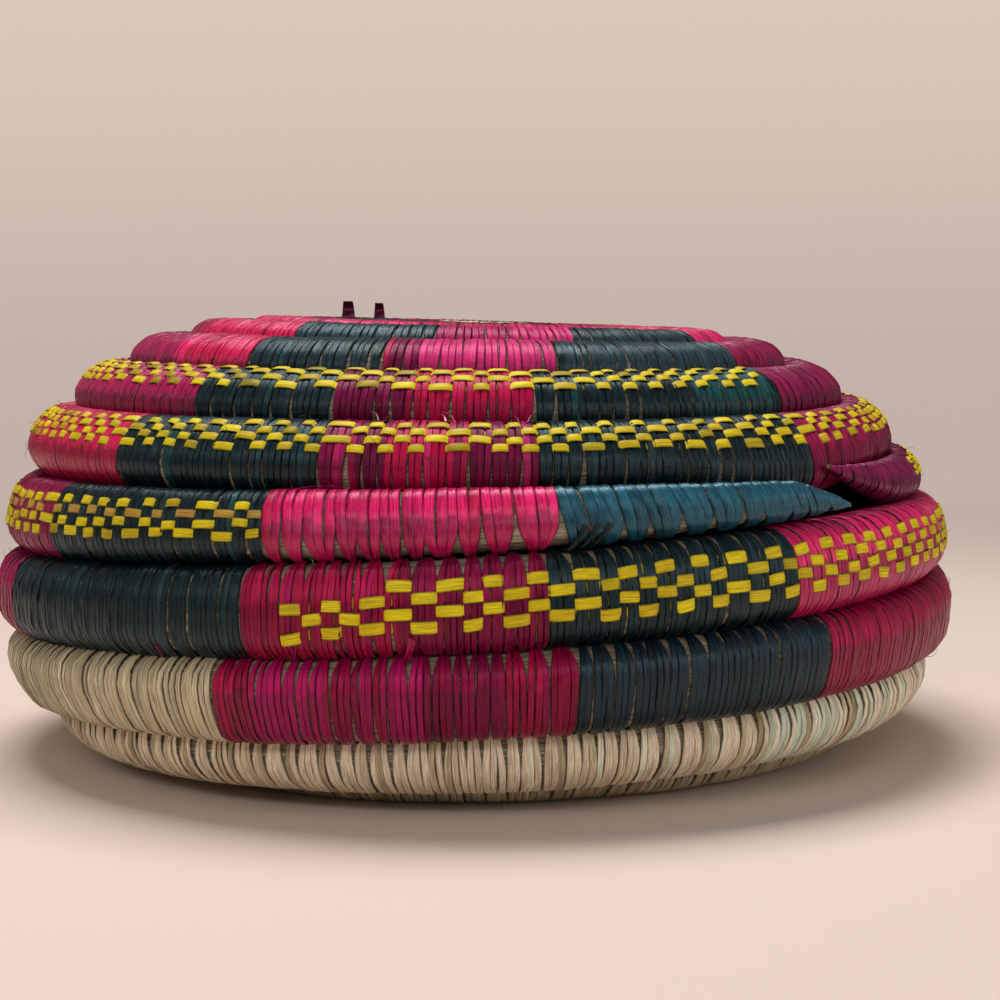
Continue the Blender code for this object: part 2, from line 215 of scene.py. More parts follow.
# Where the CAD source sets the two coils: the lid is moved, lifted and tilted onto the rim
BASKET_PLACE = Matrix.Translation((0.0000180, -0.0001312, 0.0))
LID_PLACE = Matrix.Translation((0.0014180, -0.0009312, 0.1230932)) @ Euler(
    (math.radians(1.6), math.radians(2.4), 0.0)).to_matrix().to_4x4()
BASKET_COIL = Coil(
    flat_radius=0.0980, shoulder_radius=0.0420, shoulder_angle=math.pi / 2, bow_radius=0.1090,
    wall_length=0.0396, first_pitch=0.0146, pitch_growth=0.048, off_centre=0.018,
    off_centre_angle=33.0, tail_turns=0.38, tail_share=0.18, tail_power=0.5, tail_angle=-45.0,
    tip_turns=0.020, hand=1, rise=1, place=BASKET_PLACE,
    press_depth=0.155, press_middle=0.810, press_turns=0.356,
)
LID_COIL = Coil(
    flat_radius=0.063479, shoulder_radius=0.0805, shoulder_angle=math.radians(60.0), bow_radius=0.1500,
    wall_length=0.0030, first_pitch=0.0103, pitch_growth=0.0764, off_centre=0.013,
    off_centre_angle=201.0, tail_turns=0.64, tail_share=0.12, tail_power=0.27, tail_angle=-45.0,
    tip_turns=0.045, hand=-1, rise=-1, place=LID_PLACE, sag=0.0034,
)


@dataclass(frozen=True)
class Stitching:
    """How the strips of a run are wrapped.

    The stitch side is the groove towards the turn that the run is sewn into, and the
    press side the groove where the next turn's stitches push the strips together. A pull
    is the share of the way to the bunch's middle that a strip is drawn at that side, and
    a lean is how far it slopes along the coil there. The crown is a strip's height over
    the skin, and the shingle how much one edge lies over the other.
    """

    pitch: float = 0.00143
    fill: float = 1.08
    stitch_pull: float = 0.15
    press_pull: float = 0.80
    press_zone: float = 1.15
    lean: float = 0.0
    press_lean: float = 0.0
    crown: float = 0.00020
    shingle: float = 0.00004
    sink: float = 0.0007
    facet: float = 0.45
    parting: float = 0.10
    bunches: tuple[int, ...] = (3, 3, 4)
    fine: bool = True


WALL = Stitching()
WALL_RIGHT = Stitching(press_lean=-0.0016, lean=-0.0004)
WALL_FEATHERED = Stitching(press_lean=-0.0050, press_zone=1.35, lean=-0.0006)
WALL_PLAIN = Stitching(pitch=0.0014, stitch_pull=0.12, press_pull=0.22, fill=1.1, facet=0.6)
WALL_LOW = Stitching(pitch=0.0016, fill=1.04, stitch_pull=0.30, press_pull=0.50, press_zone=1.0,
                     bunches=(2, 3, 3))
RIM_BACK = Stitching(pitch=0.0018, stitch_pull=0.25, press_pull=0.10, bunches=(2, 2, 3))
RIM_PINK = Stitching(pitch=0.0025, fill=1.07, stitch_pull=0.55, press_pull=0.0, lean=-0.0006,
                     shingle=0.00014, crown=0.00026, facet=0.8, bunches=(2, 3, 2, 4))
RIM_BLUE = Stitching(pitch=0.0029, fill=1.07, stitch_pull=0.45, press_pull=0.0, lean=-0.0026,
                     shingle=0.00016, crown=0.00026, facet=0.7, bunches=(2, 3, 3))
HEEL = Stitching(pitch=0.0017, stitch_pull=0.2, press_pull=0.36, press_zone=1.0, lean=-0.0004,
                 bunches=(2, 3), fine=False)
BASE = Stitching(pitch=0.0026, fill=0.95, stitch_pull=0.3, press_pull=0.4, bunches=(2, 3), fine=False)
LID_SIDE = Stitching(pitch=0.0017, fill=1.06, stitch_pull=0.35, press_pull=0.20, press_zone=1.2,
                     bunches=(2, 2, 3))
LID_TOP = Stitching(pitch=0.0019, stitch_pull=0.35, press_pull=0.25, bunches=(2, 3))


@dataclass(frozen=True)
class HandWork:
    """How unevenly a hand lays the strips: each value is how far chance may move them.

    Place is a share of the pitch, widths are shares of the width, height is in
    millimetres, bend in radians, and the chance in the painted highlight's height a share
    of the coil's radius. The rest is in metres.
    """

    place: float = 0.08
    hole: float = 0.3 * MM
    lean: float = 0.00020
    widths: tuple[float, float] = (0.86, 1.10)
    height: float = 0.10
    tilt: float = 0.00006
    bend: float = 0.06
    wave: float = 0.00008
    # Chance in the height of the painted highlight
    painted_light: float = 0.07


HAND = HandWork()


@dataclass(frozen=True)
class Run:
    """One colour run: its CAD node, dye, the turns back where it ends, and its stitching.

    The second and third dyes of the finish show in zones, each given by where it starts
    and ends as shares of the run, and how strong it is.
    """

    node: str
    dye: Dye
    back: float
    style: Stitching
    second: Zones = ()
    third: Zones = ()


@dataclass(frozen=True)
class Strips:
    """The strips of one run, as columns with one value for each strip.

    Middle is the place along the coil, and stitch and press are how far the strip is
    drawn from it at those two sides. Phase is where its facets start, and wave where its
    slight sway starts. Radius, share and level are the coil's at the strip.
    """

    radius: np.ndarray
    share: np.ndarray
    level: np.ndarray
    middle: np.ndarray
    stitch: np.ndarray
    press: np.ndarray
    lean: np.ndarray
    width: np.ndarray
    height: np.ndarray
    tilt: np.ndarray
    phase: np.ndarray
    wave: np.ndarray


class StripShape:
    """One wrap strip, flat with soft edges and closed, modelled once.

    Each corner has a place u round the coil, v across the strip, both as shares, and h,
    which is over 0 on top, 0 at the edges and under 0 below. The underside and the edges
    lie a fixed way under the strip's course, and the whole strip settles into the skin.
    On the bake map each strip has a slender cell, which it fills but for a margin.
    """

    PROFILE = ((0.5, 0.0), (0.35, 1.0), (-0.35, 1.0), (-0.5, 0.0), (0.0, -1.0))
    OUTER_SHARE = 0.56
    SEAM = 0.02
    UNDERSIDE = -0.00034
    EDGE = -0.00010
    SETTLE = 0.00016
    MAP_SLENDER = 3
    MAP_WIDTH = 0.8
    MAP_MARGIN = 0.04

    def __init__(self, outer_cuts: int = 17, inner_cuts: int = 5) -> None:
        """Model the strip and read its shape.

        Args:
            outer_cuts: Bends on the coil's outer half.
            inner_cuts: Bends on its inner half.
        """
        self.outer_cuts, self.inner_cuts = outer_cuts, inner_cuts
        self.u: np.ndarray
        self.v: np.ndarray
        self.h: np.ndarray
        self.faces: list[list[int]] = []
        self.build()

    def cuts(self) -> list[float]:
        """Place the bends, close together on the outer half.

        Returns:
            Where the strip may bend, as shares of its way round the coil.
        """
        start = -0.5 * (self.OUTER_SHARE - 0.5)
        outer = [start + self.OUTER_SHARE * i / self.outer_cuts for i in range(1, self.outer_cuts + 1)]
        end = outer[-1]
        inner = [end + (1 + start - end) * i / (self.inner_cuts + 1) for i in range(1, self.inner_cuts + 1)]
        return [cut for cut in outer + inner if self.SEAM < cut < 1 - self.SEAM]

    def build(self) -> None:
        """Model a five-edged bar, cut it where it bends, and keep its corners and faces."""
        edges = len(self.PROFILE)
        deselect_all()
        bpy.ops.mesh.primitive_cylinder_add(vertices=edges, radius=0.5, depth=1.0, location=(0, 0, 0.5))
        bar = bpy.context.object
        bpy.ops.object.transform_apply(location=True)
        bpy.ops.object.mode_set(mode="EDIT")
        for cut in self.cuts():
            bpy.ops.mesh.select_all(action="SELECT")
            bpy.ops.mesh.bisect(plane_co=(0, 0, cut), plane_no=(0, 0, 1))
        bpy.ops.object.mode_set(mode="OBJECT")
        places = np.array([corner.co for corner in bar.data.vertices])
        self.faces = [list(face.vertices) for face in bar.data.polygons]
        turned = np.arctan2(places[:, 1], places[:, 0]) - QUARTER_TURN
        column = np.round(turned * edges / TAU).astype(int) % edges
        self.u = places[:, 2]
        self.v, self.h = np.array(self.PROFILE)[column].T
        bpy.data.objects.remove(bar)

    def rises(self, crown: float) -> np.ndarray:
        """Height of each corner over the strip's course.

        Args:
            crown: Height of the strip's top.

        Returns:
            Heights, one for each corner.
        """
        return np.where(self.h > 0, crown, np.where(self.h < 0, self.UNDERSIDE, self.EDGE))

    def bake_map(self, count: int) -> np.ndarray:
        """Give every strip of a run a cell of its own on the bake map.

        Args:
            count: Number of strips.

        Returns:
            Place on the map of each corner, strip after strip.
        """
        columns = max(int(math.sqrt(count * self.MAP_SLENDER)), 1)
        rows = math.ceil(count / columns)
        high = 1 - 2 * self.MAP_MARGIN
        cell_x = (np.arange(count) % columns)[:, None] + 0.5 + self.MAP_WIDTH * self.v
        cell_y = (np.arange(count) // columns)[:, None] + self.MAP_MARGIN + high * self.u
        return np.stack([cell_x / columns, cell_y / rows], -1).reshape(-1, 2)


def deselect_all() -> None:
    """Let go of every piece, because the CAD nodes come in selected."""
    bpy.ops.object.select_all(action="DESELECT")


def facets(angle: np.ndarray, phase: np.ndarray, span: float = 0.72, level: float = 0.96) -> np.ndarray:
    """How a stiff strip bends in flat facets, as its rise over the round, per unit of radius.

    Args:
        angle: Angles round the coil.
        phase: Where the facets start, for each strip.
        span: Angle that one facet covers.
        level: Mean height of the facets, which is taken off.

    Returns:
        Rise, about as much over as under the round.
    """
    inside = (angle - phase) % span - 0.5 * span
    return math.cos(0.5 * span) / np.cos(inside) - level


def smooth(value: np.ndarray) -> np.ndarray:
    """A smooth step from 0 to 1 of values from 0 to 1."""
    value = np.clip(value, 0, 1)
    return value * value * (3 - 2 * value)


def section(angle: np.ndarray, half_along: np.ndarray, half_out: np.ndarray,
            power: np.ndarray) -> tuple[np.ndarray, ...]:
    """A rounded, slightly square section of a coil.

    Args:
        angle: 0 at the groove to the turn before, a quarter turn on at the outside.
        half_along: Half thickness along the skin.
        half_out: Half thickness square to the skin.
        power: 2 is an ellipse; more is squarer.

    Returns:
        Place along and out, and the normal's parts along and out.
    """
    x, y = -np.cos(angle), np.sin(angle)
    reach = (np.abs(x) ** power + np.abs(y) ** power) ** (-1 / power)
    x, y = x * reach, y * reach
    normal_x = np.sign(x) * np.abs(x) ** (power - 1) / half_along
    normal_y = np.sign(y) * np.abs(y) ** (power - 1) / half_out
    length = np.hypot(normal_x, normal_y)
    return x * half_along, y * half_out, normal_x / length, normal_y / length


def solid(name: str, corners: np.ndarray, faces: list[list[int]], copies: int,
          attributes: dict[str, np.ndarray], bake_map: np.ndarray | None = None) -> bpy.types.Object:
    """A mesh of many copies of one shape.

    Args:
        name: Name of the piece.
        corners: All corners, copy after copy.
        faces: Faces of one copy.
        copies: How many copies there are.
        attributes: Vectors to keep at the corners, by name.
        bake_map: Place of each corner on the bake map.

    Returns:
        The new object, at the origin.
    """
    count = len(corners) // copies
    loops = np.concatenate([np.array(face) for face in faces])
    sizes = np.array([len(face) for face in faces])
    step = (np.arange(copies) * count)[:, None]
    all_loops = (loops[None, :] + step).ravel()
    all_sizes = np.tile(sizes, copies)
    starts = np.concatenate([[0], np.cumsum(all_sizes)[:-1]])
    mesh = bpy.data.meshes.new(name)
    mesh.vertices.add(len(corners))
    mesh.vertices.foreach_set("co", corners.astype(np.float32).ravel())
    mesh.loops.add(len(all_loops))
    mesh.loops.foreach_set("vertex_index", all_loops.astype(np.int32))
    mesh.polygons.add(len(all_sizes))
    mesh.polygons.foreach_set("loop_start", starts.astype(np.int32))
    mesh.update(calc_edges=True)
    for key, values in attributes.items():
        layer = mesh.attributes.new(key, "FLOAT_VECTOR", "POINT")
        layer.data.foreach_set("vector", values.astype(np.float32).ravel())
    if bake_map is not None:
        layer = mesh.uv_layers.new(name="OFBake")
        layer.uv.foreach_set("vector", bake_map[all_loops].astype(np.float32).ravel())
    mesh.validate()
    thing = bpy.data.objects.new(name, mesh)
    bpy.context.scene.collection.objects.link(thing)
    smooth_by_angle(thing)
    return thing


def tube_faces(rings: int, sides: int) -> list[list[int]]:
    """Faces of a tube of rings, with a cap at each end.

    Args:
        rings: Number of rings.
        sides: Corners of each ring.

    Returns:
        Faces, as numbers of corners, ring after ring.
    """
    faces = []
    for ring in range(rings - 1):
        for side in range(sides):
            a, b = ring * sides + side, ring * sides + (side + 1) % sides
            faces.append([a, a + sides, b + sides, b])
    faces.append(list(range(sides)))
    faces.append(list(range((rings - 1) * sides, rings * sides))[::-1])
    return faces


def turn_faces_outwards() -> None:
    """Point the faces of the piece in hand outwards."""
    bpy.ops.object.mode_set(mode="EDIT")
    bpy.ops.mesh.select_all(action="SELECT")
    bpy.ops.mesh.normals_make_consistent(inside=False)
    bpy.ops.object.mode_set(mode="OBJECT")


def dress(thing: bpy.types.Object, body: str, material: bpy.types.Material,
          node: str | None = None) -> bpy.types.Object:
    """Give a piece its material, and let it ride on its body and stand for its CAD node.

    Args:
        thing: The piece.
        body: CAD body that it rides on.
        material: The finish.
        node: CAD node that it stands for, if there is one.

    Returns:
        The same piece.
    """
    thing.data.materials.append(material)
    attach(thing, body)
    if node is not None:
        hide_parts(node)
    LOG.info("made %s", thing.name)
    return thing


def smooth_by_angle(thing: bpy.types.Object, degrees: float = 40.0) -> None:
    """Shade a piece smooth, with its edges kept crisp.

    Args:
        thing: The piece.
        degrees: Angle from which an edge stays crisp.
    """
    deselect_all()
    thing.select_set(True)
    bpy.context.view_layer.objects.active = thing
    bpy.ops.object.shade_smooth_by_angle(angle=math.radians(degrees))


@dataclass(frozen=True)
class Swell:
    """How the wraps fill the grooves between the turns of a coil.

    Stretches are given in turns back from the tip, and each comes in over a fade. Over
    the wall the basket's section is squarer: a power of 2 is an ellipse, more is squarer.
    Over the outer turns the wraps swell in millimetres along the skin, on each side where
    another turn lies. The sagging stretch is the one beside the tip.
    """

    round_power: float = 2.3
    wall_power: float = 2.8
    wall_from: float = 2.9
    outer_from: float = 3.2
    fade: float = 0.6
    next_from: float = 0.95
    next_fade: float = 0.1
    alone: float = 0.45
    beside: float = 0.55
    tip_middle: float = 0.985
    tip_reach: float = 0.060

    def power(self, back: np.ndarray, walled: bool) -> np.ndarray:
        """Squareness of the section.

        Args:
            back: Turns back from the tip.
            walled: Whether the coil has a wall.

        Returns:
            Powers of the section.
        """
        wall = smooth((self.wall_from - back) / self.fade) * walled
        return self.round_power + (self.wall_power - self.round_power) * wall

    def along(self, back: np.ndarray, angle: np.ndarray) -> np.ndarray:
        """How far the wraps swell along the skin.

        Args:
            back: Turns back from the tip.
            angle: Angles round the section.

        Returns:
            Millimetres for a coil of full thickness.
        """
        next_turn = smooth((back - self.next_from) / self.next_fade)
        outer = smooth((self.outer_from - back) / self.fade)
        return self.alone + self.beside * (np.where(np.cos(angle) > 0, 1.0, next_turn) * outer)

    def sagging(self, back: np.ndarray, angle: np.ndarray) -> np.ndarray:
        """Share of the coil's sag, on the side away from the turn before.

        Args:
            back: Turns back from the tip.
            angle: Angles round the section.

        Returns:
            Shares from 0 to 1.
        """
        aside = np.clip(np.abs(back - self.tip_middle) / self.tip_reach, 0, 1)
        return np.cos(QUARTER_TURN * aside) ** 2 * (np.cos(angle) < 0)


SWELL = Swell()


@dataclass(frozen=True)
class Weft:
    """Yellow strips side by side, woven through the bunches of wraps.

    The shift moves the rows along the skin, away from the spiral's middle if positive.
    One row is faded to tan along a stretch, given by its number and two turns back.
    The lead is how many bunches each row leaves out at the start, and the droop how far
    the rows lie off their course there. A course gives places over or under one bunch,
    each by its share of the bunch and its height as a share of the bulge. Sway, twist and
    stretch are chance for each bunch, and each row wanders slowly along the coil. Top,
    underside and edge are the strip's corners, in millimetres over its course. Olive and
    tan have two pairs of limits, for a plain float and for one that is dirty or faded.
    """

    OVER = ((0.04, -0.05), (0.13, 0.62), (0.35, 0.86), (0.65, 0.86), (0.87, 0.62), (0.96, -0.05))
    UNDER = ((0.10, -1.0), (0.90, -1.0))
    SWAY = 0.00014
    TWIST = 0.00012
    STRETCH = 0.03
    DROOP_LENGTH = 0.012
    WANDER = 0.00022
    WANDER_RATE = 160.0
    WANDER_START = 2.1
    SEED_STEP = 10.0
    TOP = 0.13
    UNDERSIDE = -0.26
    EDGE = -0.04
    OLIVE = ((0.0, 0.2), (0.35, 1.0))
    TAN = ((0.0, 0.12), (0.6, 1.0))

    ends: tuple[float, float]
    rows: int = 4
    width: float = 0.0023
    pitch: float = 0.0029
    shift: float = 0.0
    bulge: float = 0.00055
    lead: tuple[int, int, int, int] = (0, 0, 0, 0)
    droop: float = 0.0
    faded: tuple[int, float, float] = (-1, 0.0, 0.0)
    dirty: float = 0.08

    def mark(self, row: int, back: float, random: np.random.Generator) -> Triple:
        """How light one float is, and how olive or faded.

        Args:
            row: Number of the row.
            back: Where the float is, in turns back from the tip.
            random: Source of chance.

        Returns:
            Tone, olive and tan.
        """
        dirty = random.uniform(0, 1) < self.dirty
        olive = random.uniform(*self.OLIVE[int(dirty)])
        number, first, last = self.faded
        faded = row == number and last < back < first
        tan = random.uniform(*self.TAN[int(faded)])
        return random.uniform(0, 1), olive, tan


class Half:
    """The basket or its lid: grass foundation, wrap strips and yellow weft.

    A bundle is uneven in waves, each with a depth as a share of the thickness, a rate
    per metre and a start. A strip narrows where it is drawn into a bunch, and the stitch
    draws it over a zone in radians. Its facets start at an angle that drifts along the
    coil. Two strips side by side share a part of their tone. A few odd strips are dyed
    off their zone, and a zone's edge is blurred by a share of the run. The grass has
    stalks of uneven height, in metres, which drift round the bundle.
    """

    SAMPLES = 4000
    UNEVEN = ((0.010, 61.0, 0.0), (0.008, 143.0, 1.7))
    NARROWING = 0.62
    STITCH_ZONE = 1.25
    FACET_START = 0.30
    FACET_DRIFT = 0.10
    FACET_RATE = 90.0
    LEAST_STRIPS = 4
    FIRST_SEWN = 2
    PAIR_TONE = 0.4
    ODD_SHARE = 0.06
    ODD_STRENGTH = (0.1, 0.5)
    ZONE_STRENGTH = (0.65, 1.0)
    ZONE_EDGE = 0.025
    STALK_RIDGE = 0.00011
    STALK_SPREAD = 0.00008
    STALK_DRIFT = 0.00010
    STALK_RATE = 190.0
    STALK_START = 2.3
    STALK_DEPTH = 0.00075
    STALK_MAP = 10.0

    def __init__(self, body: str, coil: Coil, runs: list[Run], weft: Weft,
                 shapes: tuple[StripShape, StripShape], finishes: dict[Dye, bpy.types.Material]) -> None:
        """Keep what the half is made from, and measure its coil.

        Args:
            body: CAD body that the pieces ride on.
            coil: The spiral.
            runs: Colour runs from the middle outwards.
            weft: The yellow strips.
            shapes: The wrap strip, plain and finely cut.
            finishes: Materials by dye.
        """
        self.body, self.coil, self.runs = body, coil, runs
        self.weft, self.shapes, self.finishes = weft, shapes, finishes
        self.random = np.random.default_rng(SEED + len(runs))
        self.turns = np.linspace(FIRST_TURN, coil.last_turn(), self.SAMPLES)
        middles = coil.frames(self.turns).centre
        steps = np.linalg.norm(np.diff(middles, axis=0), axis=1)
        self.lengths = np.concatenate([[0], np.cumsum(steps)])
        self.breaks: list[float] = []
        self.strips = 0

    def length_at(self, turn: float) -> float:
        """Distance along the coil's middle after some turns."""
        return float(np.interp(turn, self.turns, self.lengths))

    def back_at(self, length: float) -> float:
        """Turns back from the tip to a distance along the coil."""
        return self.coil.last_turn() - float(np.interp(length, self.lengths, self.turns))

    def lay(self, length: np.ndarray, angle: np.ndarray, lift: np.ndarray,
            reach: np.ndarray | float = 0.0) -> np.ndarray:
        """Points on the coil's skin.

        Args:
            length: Distances along the coil.
            angle: Angles round its section.
            lift: Heights over the skin.
            reach: How far they are drawn along the skin towards the turn before.

        Returns:
            Points, one row each.
        """
        turn = np.interp(length, self.lengths, self.turns)
        back = self.coil.last_turn() - turn
        places = self.coil.frames(turn)
        uneven = 1.0
        for depth, rate, begin in self.UNEVEN:
            uneven = uneven + depth * np.sin(rate * length + begin)
        half_out = 0.5 * places.size * uneven
        half_along = half_out + SWELL.along(back, angle) * MM * places.share
        half_along = half_along + self.coil.sag * SWELL.sagging(back, angle)
        power = SWELL.power(back, self.body == "basket")
        x, y, nx, ny = section(angle, half_along, half_out, power)
        x, y = x + nx * lift - reach, y + ny * lift
        return places.centre + places.along * x[..., None] + places.outward * y[..., None]

    def bunches(self, count: int, first: int, sizes: tuple[int, ...]) -> np.ndarray:
        """Number of the bunch that each strip is drawn into.

        Args:
            count: Number of strips.
            first: Strips in the first bunch, if not 0.
            sizes: Sizes that a bunch may have.

        Returns:
            Numbers, from 0.
        """
        numbers = np.zeros(count, int)
        place, bunch = first, 0
        while place < count:
            size = int(self.random.choice(sizes))
            size = count - place if count - place - size < 2 else size
            bunch += 1 if place > 0 else 0
            numbers[place:place + size] = bunch
            place += size
        return numbers

    def drawn_to(self, middles: np.ndarray, numbers: np.ndarray, jitter: float) -> np.ndarray:
        """How far each strip lies from the hole that its bunch goes through, along the coil.

        Args:
            middles: Place of each strip along the coil.
            numbers: Bunch of each strip.
            jitter: How far a hole may lie from the middle of its bunch.

        Returns:
            Distances, one for each strip.
        """
        holes = np.bincount(numbers, middles) / np.bincount(numbers)
        holes = holes + self.random.uniform(-jitter, jitter, len(holes))
        return holes[numbers] - middles

    def marks(self, run: Run, along: np.ndarray) -> np.ndarray:
        """How light each strip of a run is, and how much of the second and third dye it has.

        Args:
            run: The run.
            along: Where each strip lies, as a share of the run.

        Returns:
            Tone, second and third, one row for each strip.
        """
        random, count = self.random, len(along)
        pair = np.repeat(random.uniform(0, 1, count // 2 + 1), 2)[:count]
        columns = [(1 - self.PAIR_TONE) * random.uniform(0, 1, count) + self.PAIR_TONE * pair]
        for zones in (run.second, run.third):
            odd = random.uniform(0, 1, count) < self.ODD_SHARE
            strength = np.where(odd, random.uniform(*self.ODD_STRENGTH, count), 0.0)
            for low, high, most in zones:
                edge = along + random.normal(0, self.ZONE_EDGE, count)
                inside = (edge > low) & (edge < high)
                dyed = most * random.uniform(*self.ZONE_STRENGTH, count)
                strength = np.where(inside, dyed, strength)
            columns.append(strength)
        return np.stack(columns, -1)

    def draw(self, style: Stitching, start: float, end: float) -> Strips:
        """Choose the place, slope and size of each strip of a run, and note where its bunches part.

        Args:
            style: How the run is stitched.
            start: Where it starts, as a length along the coil.
            end: Where it ends.

        Returns:
            The strips.
        """
        random = self.random
        count = max(round((end - start) / style.pitch), self.LEAST_STRIPS)
        pitch = (end - start) / count
        middle = start + pitch * (np.arange(count) + 0.5)
        middle = middle + random.uniform(-HAND.place, HAND.place, count) * pitch
        places = self.coil.frames(np.interp(middle, self.lengths, self.turns))
        woven = self.bunches(count, 0, style.bunches)
        parted = np.flatnonzero(np.diff(woven))
        self.breaks += [start, *(0.5 * (middle[parted] + middle[parted + 1]))]
        self.strips += count
        press = self.drawn_to(middle, woven, HAND.hole) * style.press_pull
        sewn = self.bunches(count, self.FIRST_SEWN, style.bunches)
        sewn = self.drawn_to(middle, sewn, HAND.hole)
        middle = middle + 0.5 * style.parting * (sewn + self.drawn_to(middle, woven, 0.0))
        phase = self.FACET_START + self.FACET_DRIFT * np.sin(middle * self.FACET_RATE)
        values = {
            "radius": 0.5 * places.size,
            "share": places.share,
            "level": places.centre[:, 2],
            "middle": middle,
            "stitch": sewn * style.stitch_pull,
            "press": press + style.press_lean * places.share,
            "lean": style.lean * places.share + random.normal(0, HAND.lean, count),
            "width": pitch * style.fill * random.uniform(*HAND.widths, count),
            "height": random.uniform(-HAND.height, HAND.height, count) * MM,
            "tilt": style.shingle + random.normal(0.0, HAND.tilt, count),
            "phase": phase + random.normal(0, HAND.bend, count),
            "wave": random.uniform(0, TAU, count),
        }
        return Strips(**{name: value[:, None] for name, value in values.items()})

    def wind(self, strips: Strips, style: Stitching, shape: StripShape) -> tuple[np.ndarray, np.ndarray]:
        """Wind strips round the coil.

        Args:
            strips: The strips.
            style: How they are stitched.
            shape: The modelled strip.

        Returns:
            Angle round the coil and place of each corner, one row of corners for each strip.
        """
        angle = TAU * np.tile(shape.u, (len(strips.middle), 1))
        near_stitch = smooth(1 - np.minimum(angle, TAU - angle) / self.STITCH_ZONE)
        near_press = smooth(1 - np.abs(angle - math.pi) / style.press_zone)
        narrowing = 1 - self.NARROWING * style.stitch_pull * near_stitch
        narrowing = narrowing - self.NARROWING * style.press_pull * near_press
        wave = HAND.wave * np.sin(angle * 2 + strips.wave)
        length = (strips.middle + strips.stitch * near_stitch + strips.press * near_press
                  - strips.lean * np.cos(angle) + wave + shape.v * strips.width * narrowing)
        outer = np.clip(np.sin(angle), 0, 1)
        bent = style.facet * strips.radius * facets(angle, strips.phase) * outer
        lift = shape.rises(style.crown) + strips.height + strips.tilt * 2 * shape.v + bent - shape.SETTLE
        drawn = style.sink * near_stitch ** 2 * strips.share
        return angle, self.lay(length, angle, lift, drawn)

    def wrap(self, run: Run, start: float, end: float) -> bpy.types.Object:
        """Lay the strips of one run.

        Args:
            run: The run.
            start: Where it starts, as a length along the coil.
            end: Where it ends.

        Returns:
            The piece.
        """
        shape = self.shapes[int(run.style.fine)]
        strips = self.draw(run.style, start, end)
        angle, corners = self.wind(strips, run.style, shape)
        count = len(strips.middle)
        each = np.ones_like(angle)
        # Height over the coil's middle, moved a little by chance, places the painted highlight; the place
        # across the strip places the painted edge shade
        upward = (corners[..., 2] - strips.level) / strips.radius
        upward = upward + self.random.normal(0, HAND.painted_light, count)[:, None]
        seed = self.random.uniform(0, 100, count)[:, None]
        marks = self.marks(run, (strips.middle[:, 0] - start) / (end - start))
        attributes = {
            "strip_place": (angle * strips.radius / MM, shape.v * strips.width / MM, seed * each),
            "strip_mark": tuple(column[:, None] * each for column in marks.T),
            "strip_side": (2 * shape.v * each, 0 * each, upward),
        }
        piece = solid(f"{run.node}_strips", corners.reshape(-1, 3), shape.faces, count,
                      {name: np.stack(parts, -1).reshape(-1, 3) for name, parts in attributes.items()},
                      shape.bake_map(count))
        return dress(piece, self.body, self.finishes[run.dye], run.node)

    def make_wraps(self) -> None:
        """Lay the strips of all runs, from the middle outwards."""
        last = self.coil.last_turn()
        start = 0.0
        for run in self.runs:
            end = self.length_at(last - run.back)
            self.wrap(run, start, end)
            start = end
        LOG.info("%s: %d strips", self.body, self.strips)

    def make_foundation(self, node: str, rings_per_turn: int = 72, sides: int = 44) -> bpy.types.Object:
        """Lay the bundle of grass stalks that shows between the strips.

        Args:
            node: CAD node that it stands for.
            rings_per_turn: Rings along each turn.
            sides: Corners of each ring.

        Returns:
            The piece.
        """
        rings = int((self.coil.last_turn() - FIRST_TURN) * rings_per_turn)
        length = np.linspace(0.0, self.lengths[-1], rings)[:, None]
        angle = TAU * np.arange(sides)[None, :] / sides
        stalk = self.random.uniform(-1, 1, sides)
        ridge = self.STALK_RIDGE * np.tile(np.array([1.0, -1.0]), sides // 2) + self.STALK_SPREAD * stalk
        drift = self.STALK_DRIFT * np.sin(length * self.STALK_RATE + np.arange(sides) * self.STALK_START)
        grid_length = np.repeat(length, sides, 1)
        grid_angle = np.repeat(angle, rings, 0)
        corners = self.lay(grid_length, grid_angle, -self.STALK_DEPTH + ridge + drift).reshape(-1, 3)
        around = grid_angle * self.STALK_MAP
        place = np.stack([grid_length / MM, around, np.zeros_like(around)], -1).reshape(-1, 3)
        piece = solid(f"{node}_stalks", corners, tube_faces(rings, sides), 1, {"strip_place": place})
        turn_faces_outwards()
        return dress(piece, self.body, self.finishes[Dye.GRASS], node)

    def make_weft(self) -> None:
        """Weave the four yellow strips over and under the bunches of wraps."""
        last = self.coil.last_turn()
        start = self.length_at(last - self.weft.ends[0])
        end = self.length_at(last - self.weft.ends[1])
        breaks = np.array(self.breaks)
        edges = breaks[(breaks > start - MM) & (breaks < end + MM)]
        for row in range(self.weft.rows):
            self.weave(row, edges)

    def thread(self, row: int, edges: np.ndarray) -> tuple[np.ndarray, ...]:
        """Lead one yellow strip over one bunch of wraps and under the next.

        Args:
            row: Number of the row, from the spiral's inner side.
            edges: Where the bunches of wraps part, as lengths along the coil.

        Returns:
            Place along the coil, height, sway and mark of each ring of the strip.
        """
        weft, random = self.weft, self.random
        rings = []
        for bunch, (low, high) in enumerate(zip(edges[:-1], edges[1:])):
            if bunch < weft.lead[row]:
                continue
            course = weft.OVER if (bunch + row) % 2 == 0 else weft.UNDER
            mark = weft.mark(row, self.back_at(low), random)
            middle, turned = random.normal(0, weft.SWAY), random.normal(0, weft.TWIST)
            stretch = 1 + random.normal(0, weft.STRETCH)
            for share, height in course:
                place = low + (high - low) * (0.5 + (share - 0.5) * stretch)
                rings.append((place, height * weft.bulge, middle + 2 * (share - 0.5) * turned, mark))
        return tuple(np.array(values) for values in zip(*rings))

